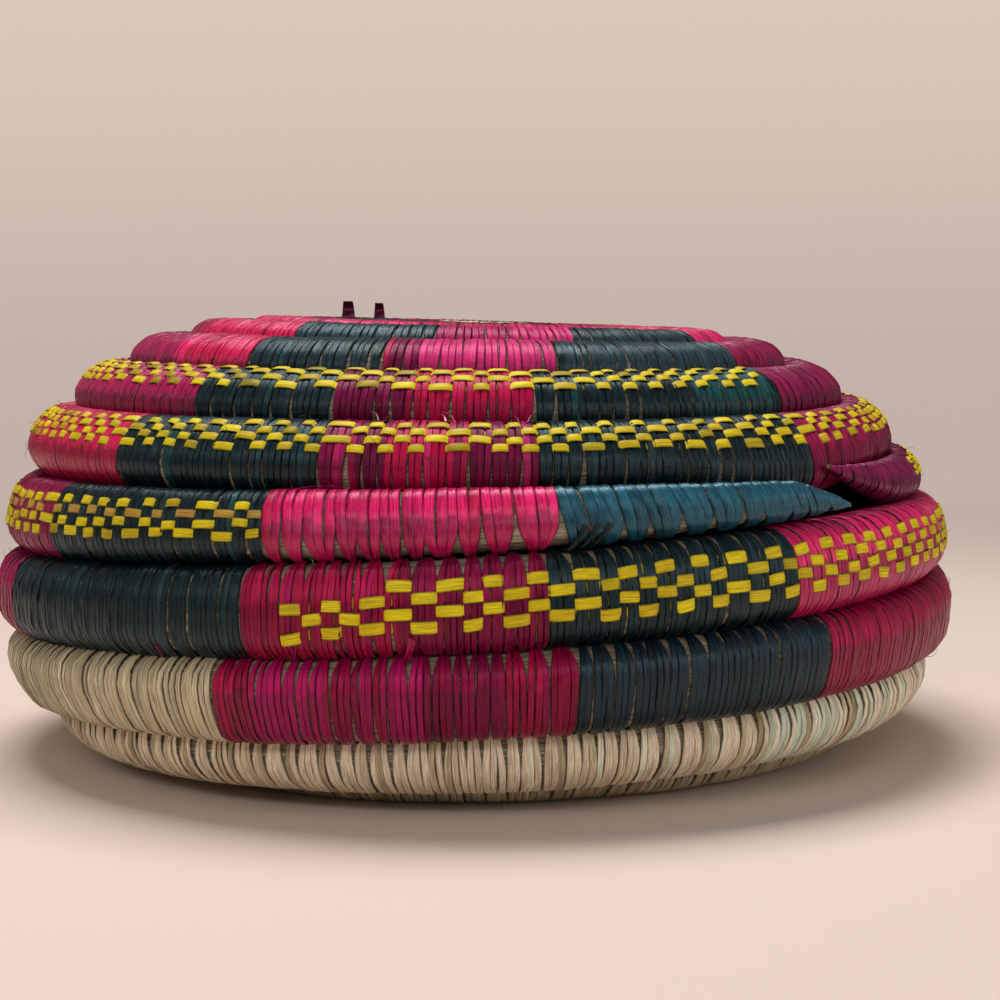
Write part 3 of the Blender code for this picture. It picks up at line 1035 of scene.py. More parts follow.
    def weave(self, row: int, edges: np.ndarray) -> bpy.types.Object:
        """Make one yellow strip.

        Args:
            row: Number of the row, from the spiral's inner side.
            edges: Where the bunches of wraps part, as lengths along the coil.

        Returns:
            The piece.
        """
        weft = self.weft
        length, lift, sway, marks = self.thread(row, edges)
        places = self.coil.frames(np.interp(length, self.lengths, self.turns))
        aside = ((row - 0.5 * (weft.rows - 1)) * weft.pitch + weft.shift) * places.share
        aside = aside - weft.droop * np.exp((edges[0] - length) / weft.DROOP_LENGTH)
        wander = weft.WANDER * np.sin(length * weft.WANDER_RATE + row * weft.WANDER_START) + sway
        angle = QUARTER_TURN + (aside + wander) / (0.5 * places.size)
        across, up = np.array(StripShape.PROFILE).T
        rise = np.where(up > 0, weft.TOP, np.where(up < 0, weft.UNDERSIDE, weft.EDGE)) * MM
        spread = weft.width * places.share / (0.5 * places.size)
        sides, rings = len(across), len(length)
        grid_length = np.repeat(length[:, None], sides, 1)
        grid_angle = angle[:, None] + across * spread[:, None]
        corners = self.lay(grid_length, grid_angle, lift[:, None] + rise).reshape(-1, 3)
        each = np.ones_like(grid_length)
        attributes = {
            "strip_place": (grid_length / MM, across * weft.width / MM * each, weft.SEED_STEP * row * each),
            "strip_mark": tuple(column[:, None] * each for column in marks.T),
            # The place across sets the painted edge shade on the yellow strips; they get no painted
            # highlight and are painted evenly a little darker
            "strip_side": (2 * across * each, 0 * each, 0 * each),
        }
        node = f"{self.body}_weft_row_{row + 1}"
        piece = solid(f"{node}_strip", corners, tube_faces(rings, sides), 1,
                      {name: np.stack(parts, -1).reshape(-1, 3) for name, parts in attributes.items()})
        turn_faces_outwards()
        return dress(piece, self.body, self.finishes[Dye.YELLOW], node)

    def build(self) -> None:
        """Make all pieces of the half."""
        self.make_foundation(f"{self.body}_foundation")
        self.make_wraps()
        self.make_weft()


class NodeBuilder:
    """Short calls for a shader tree.

    A Mix node has sockets for numbers, vectors and colours in one row. The ones given
    here take the share and the two colours, and give the mixed colour.
    """

    MIX_INPUTS = (0, 6, 7)
    MIX_OUTPUT = 2

    def __init__(self, tree: bpy.types.NodeTree) -> None:
        """Keep the tree."""
        self.tree = tree

    def add(self, kind: str, **settings: object) -> bpy.types.Node:
        """Add a node and set it up.

        Args:
            kind: Blender's name for the node.
            settings: The node's own settings.

        Returns:
            The node.
        """
        node = self.tree.nodes.new(kind)
        for key, value in settings.items():
            setattr(node, key, value)
        return node

    def set(self, socket: bpy.types.NodeSocket, value: object) -> None:
        """Feed a socket.

        Args:
            socket: The input to feed.
            value: Another node's output, a number, or a colour of three numbers.
        """
        if isinstance(value, bpy.types.NodeSocket):
            self.tree.links.new(value, socket)
        elif isinstance(value, tuple) and len(value) == 3:
            socket.default_value = (*value, 1.0)
        else:
            socket.default_value = value

    def fill(self, node: bpy.types.Node, **values: object) -> None:
        """Feed a node's inputs by name, with a low line for each space in a name."""
        for key, value in values.items():
            self.set(node.inputs[key.replace("_", " ")], value)

    def math(self, kind: str, *values: object, clamp: bool = False) -> bpy.types.NodeSocket:
        """Work out one number from others.

        Args:
            kind: What the node does.
            values: Sockets or numbers, in order.
            clamp: Whether the result is kept from 0 to 1.

        Returns:
            The result.
        """
        node = self.add("ShaderNodeMath", operation=kind, use_clamp=clamp)
        for socket, value in zip(node.inputs, values):
            self.set(socket, value)
        return node.outputs[0]

    def mix(self, factor: object, a: object, b: object) -> bpy.types.NodeSocket:
        """Mix two colours.

        Args:
            factor: Share of the second.
            a: First socket or colour.
            b: Second socket or colour.

        Returns:
            The mixed colour.
        """
        node = self.add("ShaderNodeMix", data_type="RGBA")
        for number, value in zip(self.MIX_INPUTS, (factor, a, b)):
            self.set(node.inputs[number], value)
        return node.outputs[self.MIX_OUTPUT]

    def step(self, value: bpy.types.NodeSocket, limits: tuple[float, float],
             levels: tuple[float, float] = (0.0, 1.0)) -> bpy.types.NodeSocket:
        """A smooth step of a value.

        Args:
            value: The value.
            limits: Where the step starts and ends.
            levels: What it gives under the first limit and over the second.

        Returns:
            The stepped value.
        """
        node = self.add("ShaderNodeMapRange", interpolation_type="SMOOTHSTEP")
        self.fill(node, Value=value, From_Min=limits[0], From_Max=limits[1], To_Min=levels[0],
                  To_Max=levels[1])
        return node.outputs[0]

    def parts(self, vector: bpy.types.NodeSocket) -> list[bpy.types.NodeSocket]:
        """Take a vector apart.

        Args:
            vector: The vector.

        Returns:
            Its three parts.
        """
        node = self.add("ShaderNodeSeparateXYZ")
        self.set(node.inputs[0], vector)
        return list(node.outputs)

    def noise(self, place: bpy.types.NodeSocket, **values: float) -> bpy.types.NodeSocket:
        """Lay noise over a pattern.

        Args:
            place: Place in the pattern.
            values: The noise node's own values.

        Returns:
            The noise, from 0 to 1.
        """
        node = self.add("ShaderNodeTexNoise")
        self.fill(node, Vector=place, **values)
        return node.outputs[0]


def new_group(name: str, inputs: dict[str, str],
              outputs: tuple[str, ...]) -> tuple[NodeBuilder, bpy.types.Node, bpy.types.Node]:
    """Start a shader node group.

    Args:
        name: Name of the group.
        inputs: Kind of each input socket, by name.
        outputs: Names of the outputs, all of them numbers.

    Returns:
        A builder for the group, and its nodes for what comes in and what goes out.
    """
    tree = bpy.data.node_groups.new(name, "ShaderNodeTree")
    for key, kind in inputs.items():
        tree.interface.new_socket(key, in_out="INPUT", socket_type=kind)
    for key in outputs:
        tree.interface.new_socket(key, in_out="OUTPUT", socket_type="NodeSocketFloat")
    build = NodeBuilder(tree)
    return build, build.add("NodeGroupInput"), build.add("NodeGroupOutput")


# How much streaks and blotches raise a strip, and how much darker a strip is painted away from its painted
# highlight
STREAK_HEIGHT = 0.75
BLOTCH_HEIGHT = 0.5
OFF_HIGHLIGHT_SHADE = 0.25


def fibre_group() -> bpy.types.ShaderNodeTree:
    """Build the fine fibres that run along a strip.

    Returns:
        A group with streaks, blotches and a height as outputs.
    """
    build, source, sink = new_group(
        "strip fibres",
        {"Place": "NodeSocketVector", "Fineness": "NodeSocketFloat", "Stretch": "NodeSocketFloat"},
        ("Streak", "Blotch", "Height"))
    along, across, seed = build.parts(source.outputs["Place"])
    stretched = build.add("ShaderNodeCombineXYZ")
    build.fill(stretched, X=build.math("MULTIPLY", along, source.outputs["Stretch"]),
               Y=build.math("MULTIPLY", across, source.outputs["Fineness"]), Z=seed)
    fine = build.noise(stretched.outputs[0], Scale=1.6, Detail=3.0, Roughness=0.62)
    blotch = build.noise(source.outputs["Place"], Scale=0.33, Detail=2.0)
    streak = build.step(fine, limits=(0.30, 0.70))
    height = build.math("ADD", build.math("MULTIPLY", streak, STREAK_HEIGHT),
                        build.math("MULTIPLY", blotch, BLOTCH_HEIGHT))
    build.fill(sink, Streak=streak, Blotch=blotch, Height=height)
    return build.tree


def painted_light_group() -> bpy.types.ShaderNodeTree:
    """Build the painted shading of a strip: painted shade at its two edges, where the gaps
    between strips lie in shadow, and a painted highlight where light from above falls on the coil.

    The painted highlight lies on the upper shoulder of a coil, by the height over the coil's
    middle as a share of its radius, and off it the strip is painted darker.

    Returns:
        A group with a factor for the colour as output.
    """
    build, source, sink = new_group(
        "strip wear", {"Side": "NodeSocketVector", "Rubbed": "NodeSocketFloat"}, ("Shade",))
    across, _, upward = build.parts(source.outputs["Side"])
    # Painted shade at both edges of a strip, where the gaps between strips lie in shadow
    edges = build.step(build.math("ABSOLUTE", across), limits=(0.68, 1.0), levels=(1.0, 0.22))
    # Painted highlight on the coil's upper shoulder, with the rest of the strip painted darker
    low = build.step(upward, limits=(0.14, 0.30))
    high = build.step(upward, limits=(0.70, 1.05), levels=(1.0, 0.35))
    off_highlight = build.math("MULTIPLY_ADD", source.outputs["Rubbed"], -OFF_HIGHLIGHT_SHADE, 1.0)
    painted_highlight = build.math("MULTIPLY_ADD", build.math("MULTIPLY", low, high), source.outputs["Rubbed"], off_highlight)
    build.fill(sink, Shade=build.math("MULTIPLY", edges, painted_highlight))
    return build.tree


@dataclass(frozen=True)
class PalmFinish:
    """A dyed or plain palm strip: colours in light and deep dye, gloss and grain.

    A strip goes from deep to light dye by its streaks and its tone. Streaks and blotches
    also set the shade and the patches of other dyes, each by a gain and a least value.
    The bump is the height of the grain in metres. The painted highlight is how much lighter
    the coil's upper shoulder is painted, standing in for light from above, and how much
    darker the rest is painted.
    """

    STREAK_DYE = 0.36
    TONE_DYE = 0.68
    SHADES = (0.55, 0.70)
    PATCHES = (0.9, 0.5)
    BUMP = 0.00022

    slot: Dye
    deep: Triple
    light: Triple
    second: Triple
    third: Triple
    shine: Triple = (1.0, 1.0, 1.0)
    roughness: float = 0.30
    rougher: float = 0.22
    gloss: float = 0.34
    grain: float = 0.40
    fineness: float = 2.6
    stretch: float = 0.10
    # How strongly the coil's upper shoulder is painted lighter as a highlight, and the rest darker
    painted_highlight: float = 0.30

    def material(self, fibres: bpy.types.ShaderNodeTree,
                 painted_light: bpy.types.ShaderNodeTree) -> bpy.types.Material:
        """Build the material.

        Args:
            fibres: The shared group of fibres.
            painted_light: The shared group of painted edge shade and painted highlight.

        Returns:
            The material.
        """
        made = bpy.data.materials.new(self.slot.value)
        made.use_nodes = True
        made.node_tree.nodes.clear()
        build = NodeBuilder(made.node_tree)
        output = build.add("ShaderNodeOutputMaterial")
        shader = build.add("ShaderNodeBsdfPrincipled")
        place, mark, side = (build.add("ShaderNodeAttribute", attribute_name=name).outputs["Vector"]
                             for name in ("strip_place", "strip_mark", "strip_side"))
        grain = build.add("ShaderNodeGroup", node_tree=fibres)
        build.fill(grain, Place=place, Fineness=self.fineness, Stretch=self.stretch)
        # Painted shade at the strip's edges and a painted highlight on the coil's upper shoulder
        painted_light_node = build.add("ShaderNodeGroup", node_tree=painted_light)
        build.fill(painted_light_node, Side=side, Rubbed=self.painted_highlight)
        streak = grain.outputs["Streak"]
        streaked = build.math("MULTIPLY_ADD", streak, *self.SHADES)
        shade = build.math("MULTIPLY", streaked, painted_light_node.outputs["Shade"])
        shaded = build.add("ShaderNodeVectorMath", operation="SCALE")
        build.set(shaded.inputs[0], self.dyed(build, grain, mark))
        build.fill(shaded, Scale=shade)
        bump = build.add("ShaderNodeBump")
        build.fill(bump, Strength=self.grain, Distance=self.BUMP, Height=grain.outputs["Height"])
        build.fill(shader, Base_Color=shaded.outputs[0], Specular_IOR_Level=self.gloss,
                   Specular_Tint=self.shine, Normal=bump.outputs[0],
                   Roughness=build.math("MULTIPLY_ADD", streak, self.rougher, self.roughness))
        build.fill(output, Surface=shader.outputs[0])
        return made

    def dyed(self, build: NodeBuilder, grain: bpy.types.Node,
             mark: bpy.types.NodeSocket) -> bpy.types.NodeSocket:
        """Mix the dyes of a strip.

        Args:
            build: Builder of the material.
            grain: The fibres.
            mark: Tone of the strip, and how much of the second and third dye it has.

        Returns:
            The colour, before the streaks' shade, the painted edge shade and the painted highlight.
        """
        tone, second, third = build.parts(mark)
        blend = build.math("ADD", build.math("MULTIPLY", grain.outputs["Streak"], self.STREAK_DYE),
                           build.math("MULTIPLY", tone, self.TONE_DYE), clamp=True)
        colour = build.mix(blend, self.deep, self.light)
        patchy = build.math("MULTIPLY_ADD", grain.outputs["Blotch"], *self.PATCHES)
        for share, dye in ((second, self.second), (third, self.third)):
            colour = build.mix(build.math("MULTIPLY", share, patchy, clamp=True), colour, dye)
        return colour


# A finish may set how strongly its coils' upper shoulders are painted lighter as a highlight
FINISHES = (
    PalmFinish(
        Dye.NATURAL, deep=(0.27, 0.21, 0.125), light=(0.72, 0.60, 0.38), second=(0.74, 0.84, 0.66),
        third=(1.0, 0.84, 0.64), shine=(1.0, 0.94, 0.84), roughness=0.50, gloss=0.25, grain=0.5, painted_highlight=0.1),
    PalmFinish(
        Dye.CRIMSON, deep=(0.10, 0.001, 0.018), light=(0.40, 0.003, 0.055), second=(0.10, 0.002, 0.036),
        third=(0.36, 0.004, 0.11), shine=(1.0, 0.30, 0.44), roughness=0.24, rougher=0.20, gloss=0.6,
        painted_highlight=0.6),
    PalmFinish(
        Dye.MAGENTA, deep=(0.11, 0.001, 0.026), light=(0.38, 0.003, 0.080), second=(0.10, 0.003, 0.050),
        third=(0.50, 0.003, 0.050), shine=(1.0, 0.28, 0.48), roughness=0.24, rougher=0.20, gloss=0.6,
        painted_highlight=0.5),
    PalmFinish(
        Dye.PLUM, deep=(0.065, 0.001, 0.018), light=(0.20, 0.003, 0.052), second=(0.52, 0.004, 0.060),
        third=(0.70, 0.035, 0.20), shine=(1.0, 0.34, 0.56), roughness=0.26, rougher=0.20, gloss=0.4,
        painted_highlight=0.4),
    PalmFinish(
        Dye.HOT_PINK, deep=(0.28, 0.002, 0.050), light=(0.74, 0.009, 0.135), second=(0.13, 0.002, 0.040),
        third=(0.44, 0.002, 0.032), shine=(1.0, 0.42, 0.58), roughness=0.20, rougher=0.18, gloss=1.0,
        painted_highlight=0.75),
    PalmFinish(
        Dye.NAVY, deep=(0.0015, 0.004, 0.008), light=(0.009, 0.020, 0.033), second=(0.004, 0.036, 0.040),
        third=(0.032, 0.036, 0.046), shine=(0.66, 0.92, 1.0), roughness=0.22, rougher=0.18, gloss=0.42,
        painted_highlight=0.6),
    PalmFinish(
        Dye.TEAL, deep=(0.0006, 0.0026, 0.0034), light=(0.003, 0.014, 0.020), second=(0.004, 0.070, 0.070),
        third=(0.024, 0.050, 0.070), shine=(0.66, 0.95, 1.0), roughness=0.22, rougher=0.18, gloss=0.42,
        painted_highlight=0.6),
    PalmFinish(
        Dye.BLUE_TEAL, deep=(0.002, 0.022, 0.040), light=(0.008, 0.085, 0.135), second=(0.004, 0.055, 0.062),
        third=(0.024, 0.050, 0.070), shine=(0.45, 0.85, 1.0), roughness=0.20, rougher=0.18, gloss=0.9,
        painted_highlight=0.7),
    PalmFinish(
        Dye.YELLOW, deep=(0.62, 0.42, 0.002), light=(0.96, 0.78, 0.006), second=(0.28, 0.21, 0.008),
        third=(0.46, 0.25, 0.055), shine=(1.0, 0.95, 0.55), roughness=0.38, gloss=0.35, grain=0.12),
    PalmFinish(
        Dye.GRASS, deep=(0.20, 0.155, 0.10), light=(0.84, 0.73, 0.54), second=(0.3, 0.24, 0.13),
        third=(0.3, 0.24, 0.13), roughness=0.6, gloss=0.2, grain=0.8, fineness=0.9, stretch=0.02),
)


def runs_of_basket() -> list[Run]:
    """List the basket's colour runs.

    Returns:
        Runs, from the middle outwards.
    """
    flat_end = BASKET_COIL.last_turn() - BASKET_COIL.turn_at(BASKET_COIL.flat_radius)
    return [
        Run("base_wrap_natural", Dye.NATURAL, flat_end, BASE),
        Run("heel_wrap_natural", Dye.NATURAL, 2.201, HEEL,
            ((0.560, 0.605, 1.0), (0.645, 0.670, 0.9), (0.88, 1.0, 0.12)),
            ((0.415, 0.470, 0.8), (0.475, 0.556, 0.7), (0.605, 0.645, 1.0))),
        Run("wall_wrap_01_crimson", Dye.CRIMSON, 2.097, WALL_LOW,
            ((0.30, 0.42, 0.5), (0.62, 0.80, 0.8)), ((0.12, 0.30, 0.8), (0.42, 0.60, 0.7))),
        Run("wall_wrap_02_navy", Dye.NAVY, 2.016, WALL_LOW),
        Run("wall_wrap_03_crimson", Dye.CRIMSON, 1.815, WALL_LOW),
        Run("wall_wrap_04_navy", Dye.NAVY, 1.545, WALL_LOW, ((0.5, 1.0, 0.7),)),
        Run("wall_wrap_05_magenta", Dye.MAGENTA, 1.301, WALL),
        Run("wall_wrap_06_teal", Dye.TEAL, 1.191, WALL_PLAIN),
        Run("wall_wrap_07_crimson", Dye.CRIMSON, 1.105, WALL, ((0.55, 1.0, 0.6),)),
        Run("wall_wrap_08_teal", Dye.TEAL, 1.028, WALL_RIGHT),
        Run("wall_wrap_09_hot_pink", Dye.HOT_PINK, 0.815, WALL_FEATHERED),
        Run("wall_wrap_10_teal", Dye.TEAL, 0.545, RIM_BACK),
        Run("wall_wrap_11_magenta", Dye.MAGENTA, 0.275, RIM_BACK),
        Run("rim_wrap_1_teal", Dye.TEAL, 0.186, RIM_BACK),
        Run("rim_wrap_2_hot_pink", Dye.HOT_PINK, 0.101, RIM_PINK),
        Run("rim_wrap_3_blue_teal", Dye.BLUE_TEAL, 0.0, RIM_BLUE),
    ]


# Zones of the second and third dye on the lid, by turn and sector
LID_SECOND_ZONES: dict[str, Zones] = {
    "14": ((0.5, 1.0, 0.8),), "24": ((0.25, 1.0, 0.8),), "34": ((0.0, 1.0, 0.7),),
    "32": ((0.0, 0.6, 0.9),), "42": ((0.34, 0.70, 0.9),), "31": ((0.0, 0.4, 0.8),),
    "16": ((0.0, 1.0, 0.3),), "26": ((0.0, 1.0, 0.5),), "36": ((0.0, 0.8, 0.35),), "46": ((0.0, 1.0, 0.85),),
}
LID_THIRD_ZONES: dict[str, Zones] = {
    "12": ((0.0, 0.5, 0.9), (0.5, 1.0, 0.4)), "22": ((0.0, 0.8, 0.95),), "42": ((0.8, 0.95, 0.3),),
    "14": ((0.0, 0.5, 0.7),), "24": ((0.0, 0.25, 0.7),), "44": ((0.0, 1.0, 0.85),),
    "11": ((0.0, 1.0, 0.5),), "13": ((0.0, 1.0, 0.8),), "21": ((0.0, 1.0, 0.8),), "23": ((0.0, 1.0, 0.35),),
}

# Middle runs of the lid: node, dye, and where they end as a share of the way to the sectors
LID_MIDDLE = (
    ("lid_button_wrap_natural", Dye.NATURAL, 0.20),
    ("lid_top_wrap_1_plum", Dye.PLUM, 0.45),
    ("lid_top_wrap_2_teal", Dye.TEAL, 0.75),
    ("lid_top_wrap_3_hot_pink", Dye.HOT_PINK, 1.00),
)

# Sectors of each turn of the lid, and the share of a turn back where each ends, turn by turn
LID_SECTOR_DYES = (Dye.TEAL, Dye.PLUM, Dye.TEAL, Dye.HOT_PINK, Dye.TEAL, Dye.MAGENTA)
LID_SECTOR_ENDS = (
    (0.929, 0.854, 0.774, 0.599, 0.339, 0.012),
    (0.910, 0.836, 0.774, 0.599, 0.339, 0.006),
    (0.896, 0.825, 0.769, 0.599, 0.339, -0.004),
    (0.895, 0.828, 0.751, 0.599, 0.339, 0.0),
)


def runs_of_lid() -> list[Run]:
    """List the lid's colour runs: the middle ones, then the same sectors turn after turn.

    Returns:
        Runs, from the middle outwards.
    """
    inner = LID_COIL.last_turn() - FIRST_TURN - LID_SECTORS_START
    runs = [Run(node, dye, LID_SECTORS_START + inner * (1 - share), LID_TOP)
            for node, dye, share in LID_MIDDLE]
    for turn, ends in enumerate(LID_SECTOR_ENDS, start=1):
        for number, (dye, back) in enumerate(zip(LID_SECTOR_DYES, ends), start=1):
            mark = f"{turn}{number}"
            colour = dye.value.removesuffix("_wrap")
            runs.append(Run(f"lid_wrap_{mark}_{colour}", dye, len(LID_SECTOR_ENDS) - turn + back, LID_SIDE,
                            LID_SECOND_ZONES.get(mark, ()), LID_THIRD_ZONES.get(mark, ())))
    return runs


@dataclass
class StripEnds:
    """The two cut strip ends that stand up on the lid's top.

    The width is a share of the CAD node's, and the taper the share of it that is lost at
    the top. An end sways by the curl, as the sine of an angle that grows to the bend, in
    radians. The rest is in metres.
    """

    nodes: tuple[str, str] = ("lid_strip_end_wide", "lid_strip_end_narrow")
    width: float = 0.5
    taper: float = 0.3
    skew: float = 0.002
    curl: float = 0.0016
    bend: float = 3.0
    thickness: float = 0.0003

    def build(self, finish: bpy.types.Material) -> None:
        """Make each end as a thin curled strip in its CAD node's place.

        Args:
            finish: Material of the strips.
        """
        for node in self.nodes:
            low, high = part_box(node)
            middle, size = 0.5 * (low + high), high - low
            deselect_all()
            bpy.ops.mesh.primitive_grid_add(x_subdivisions=3, y_subdivisions=8, size=1.0, location=(0, 0, 0))
            strip = bpy.context.object
            strip.name = f"{node}_curl"
            for corner in strip.data.vertices:
                x, y = corner.co.x, corner.co.y + 0.5
                corner.co = (middle.x + x * size.x * self.width * (1 - self.taper * y),
                             middle.y + x * self.skew + self.curl * math.sin(self.bend * y),
                             low.z + size.z * y)
            wall = strip.modifiers.new("thickness", "SOLIDIFY")
            wall.thickness = self.thickness
            bpy.ops.object.modifier_apply(modifier=wall.name)
            smooth_by_angle(strip)
            dress(strip, "lid", finish, node)


@dataclass(frozen=True)
class Wisp:
    """A loose end, curl or hair of palm that stands off the wraps.

    Each point is given by millimetres along the coil, an angle round its section and
    millimetres over the skin. The width is in millimetres too, and the tip keeps a share
    of it.
    """

    TIP = 0.35

    dye: Dye
    back: float
    width: float
    points: tuple[Triple, ...]


@dataclass(frozen=True)
class StrayHairs:
    """Fine short hairs scattered over stretches of a coil, the same number over each.

    A stretch is given by its dye and the turns back between which it lies. The pairs are
    the limits that chance keeps to, with angles and turns in radians round the coil and
    the rest in millimetres. The course gives the points of a hair as shares of its run,
    its turn and its height.
    """

    each: int
    stretches: tuple[tuple[Dye, float, float], ...]
    angles: tuple[float, float] = (0.7, 2.6)
    runs: tuple[float, float] = (-5.0, 5.0)
    turns: tuple[float, float] = (-0.35, 0.35)
    heights: tuple[float, float] = (0.8, 2.2)
    widths: tuple[float, float] = (0.10, 0.18)
    course: tuple[Triple, ...] = ((0.0, 0.0, 0.0), (0.3, 0.3, 0.7), (0.7, 0.8, 1.0), (1.0, 1.0, 0.8))

    def scatter(self, random: np.random.Generator) -> list[Wisp]:
        """Scatter the hairs.

        Args:
            random: Source of chance.

        Returns:
            The hairs.
        """
        hairs = []
        for dye, first, last in self.stretches:
            for back in random.uniform(last, first, self.each):
                angle, run = random.uniform(*self.angles), random.uniform(*self.runs)
                turn, height = random.uniform(*self.turns), random.uniform(*self.heights)
                points = tuple((a * run, angle + b * turn, c * height) for a, b, c in self.course)
                hairs.append(Wisp(dye, float(back), random.uniform(*self.widths), points))
        return hairs


BASKET_HAIRS = StrayHairs(each=12, stretches=(
    (Dye.HOT_PINK, 1.03, 0.83), (Dye.MAGENTA, 1.50, 1.32), (Dye.CRIMSON, 2.0, 1.83), (Dye.TEAL, 0.52, 0.30),
    (Dye.HOT_PINK, 0.18, 0.11),
))
LID_HAIRS = StrayHairs(each=10, stretches=(
    (Dye.MAGENTA, 0.30, 0.03), (Dye.MAGENTA, 1.30, 1.03), (Dye.TEAL, 0.82, 0.78), (Dye.HOT_PINK, 0.74, 0.62),
    (Dye.PLUM, 0.89, 0.84),
))


def draw_wisps(half: Half, wisps: list[Wisp]) -> None:
    """Draw a half's wisps out as round curls that taper to their ends, one piece for each dye.

    Args:
        half: The half that they stand on.
        wisps: The wisps.
    """
    for dye in dict.fromkeys(wisp.dye for wisp in wisps):
        deselect_all()
        bpy.ops.curve.primitive_nurbs_path_add(location=(0, 0, 0))
        curls = bpy.context.object
        curls.name = f"{half.body}_loose_ends_{dye.value}"
        curls.data.splines.clear()
        for wisp in (wisp for wisp in wisps if wisp.dye is dye):
            along, angle, lift = np.array(wisp.points, float).T
            start = half.length_at(half.coil.last_turn() - wisp.back)
            places = half.lay(start + along * MM, angle, lift * MM)
            spline = curls.data.splines.new("NURBS")
            spline.points.add(len(places) - 1)
            for point, place, share in zip(spline.points, places, np.linspace(1.0, wisp.TIP, len(places))):
                point.co = (*place, 1.0)
                point.radius = 0.5 * wisp.width * share
            spline.order_u = 3
            spline.use_endpoint_u = True
            spline.resolution_u = 5
        curls.data.bevel_depth = MM
        curls.data.bevel_resolution = 1
        curls.data.use_fill_caps = True
        bpy.ops.object.convert(target="MESH")
        curls = bpy.context.object
        smooth_by_angle(curls)
        dress(curls, half.body, half.finishes[dye])


def basket_wisps() -> list[Wisp]:
    """List the loose ends that the photograph shows on the basket's wall.

    Returns:
        The loose ends.
    """
    tail = ((0, 0.95, 0.0), (-0.8, 0.62, 0.9), (-2.2, 0.40, 1.6), (-3.6, 0.22, 1.9), (-4.2, 0.10, 2.6),
            (-3.0, 0.22, 3.2), (-1.6, 0.42, 2.8), (-0.4, 0.65, 1.8))
    flap = ((3.5, 1.05, 0.2), (2.2, 0.72, 0.9), (0.8, 0.42, 1.5), (-0.8, 0.20, 1.7), (-2.0, 0.05, 1.2))
    return [
        Wisp(Dye.HOT_PINK, 1.142, 1.2, tail),
        Wisp(Dye.HOT_PINK, 1.140, 1.0, tuple((a - 1.0, b - 0.04, c * 0.9) for a, b, c in tail)),
        Wisp(Dye.HOT_PINK, 1.174, 0.5, ((0, 0.9, 0), (-1.5, 0.5, 1.2), (-3.5, 0.25, 1.4),
                                        (-5.5, 0.12, 0.9))),
        Wisp(Dye.TEAL, 0.098, 2.0, flap),
        Wisp(Dye.TEAL, 0.096, 1.8, tuple((a + 1.2, b, c * 0.8) for a, b, c in flap)),
        Wisp(Dye.TEAL, 0.094, 1.8, tuple((a + 2.4, b + 0.02, c * 0.6) for a, b, c in flap)),
        Wisp(Dye.NATURAL, 0.172, 0.35, ((0, 0.30, 0), (0.6, 0.15, 1.6), (0.2, 0.05, 2.8), (-0.6, 0.0, 3.6))),
        Wisp(Dye.HOT_PINK, 0.180, 0.22, ((0, 2.5, 0.2), (5, 2.6, 0.8), (10, 2.7, 0.9), (16, 2.6, 0.4))),
        Wisp(Dye.MAGENTA, 1.22, 0.9, ((0, 0.8, 0), (-1, 0.45, 0.9), (-2.4, 0.2, 1.0), (-3.0, 0.0, 1.4))),
    ]


def lid_wisps() -> list[Wisp]:
    """List the loose ends that the photograph shows on the lid.

    Returns:
        The loose ends.
    """
    tuft = ((0, 0.85, 0.0), (0.6, 0.72, 1.0), (1.6, 0.62, 1.8), (2.8, 0.60, 2.1))
    tufts = ((Dye.PLUM, 0.844, 0.8, 1.0), (Dye.PLUM, 0.846, 0.4, -0.5), (Dye.HOT_PINK, 0.866, 0.9, 0.5),
             (Dye.HOT_PINK, 0.869, 0.4, 1.1), (Dye.PLUM, 0.893, 0.7, -0.9), (Dye.MAGENTA, 0.890, 0.4, 0.4))
    hairs = [Wisp(dye, back, width, tuple((way * along, angle, (0.5 + 0.5 * abs(way)) * lift)
                                          for along, angle, lift in tuft))
             for dye, back, width, way in tufts]
    return hairs + [
        Wisp(Dye.PLUM, 0.828, 0.22, ((-6, 2.3, 0.1), (-1, 2.25, 0.9), (6, 2.3, 1.2), (14, 2.35, 0.8),
                                     (20, 2.3, 0.5))),
        Wisp(Dye.PLUM, 1.860, 0.22, ((-3, 2.1, 0.1), (0, 2.0, 1.2), (4, 2.1, 1.6), (9, 2.2, 0.8))),
        Wisp(Dye.TEAL, 0.945, 0.25, ((0, 2.4, 0.1), (-3, 2.3, 1.2), (-6, 2.4, 1.5), (-9, 2.6, 1.0))),
    ]


@dataclass(frozen=True)
class Lamp:
    """One soft oblong lamp, wide and high as its size says, aimed at the object's middle."""

    MIDDLE = (0.0, 0.0, 0.06)

    name: str
    place: Triple
    size: tuple[float, float]
    power: float
    colour: Triple

    def build(self) -> None:
        """Hang the lamp."""
        light = bpy.data.lights.new(self.name, "AREA")
        light.shape = "RECTANGLE"
        light.size, light.size_y = self.size
        light.energy, light.color = self.power, self.colour
        thing = bpy.data.objects.new(self.name, light)
        bpy.context.scene.collection.objects.link(thing)
        thing.location = self.place
        aim = Vector(self.MIDDLE) - Vector(self.place)
        thing.rotation_euler = aim.to_track_quat("-Z", "Y").to_euler()


LAMPS = (
    Lamp("key", (-0.08, 0.12, 1.08), (0.75, 0.42), 10.6, (1.0, 0.98, 0.96)),
    Lamp("front", (-0.38, -1.08, 0.62), (1.20, 0.18), 3.4, (1.0, 0.97, 0.94)),
    Lamp("side", (1.05, -0.60, 0.32), (0.4, 0.4), 2.2, (1.0, 0.98, 0.97)),
)


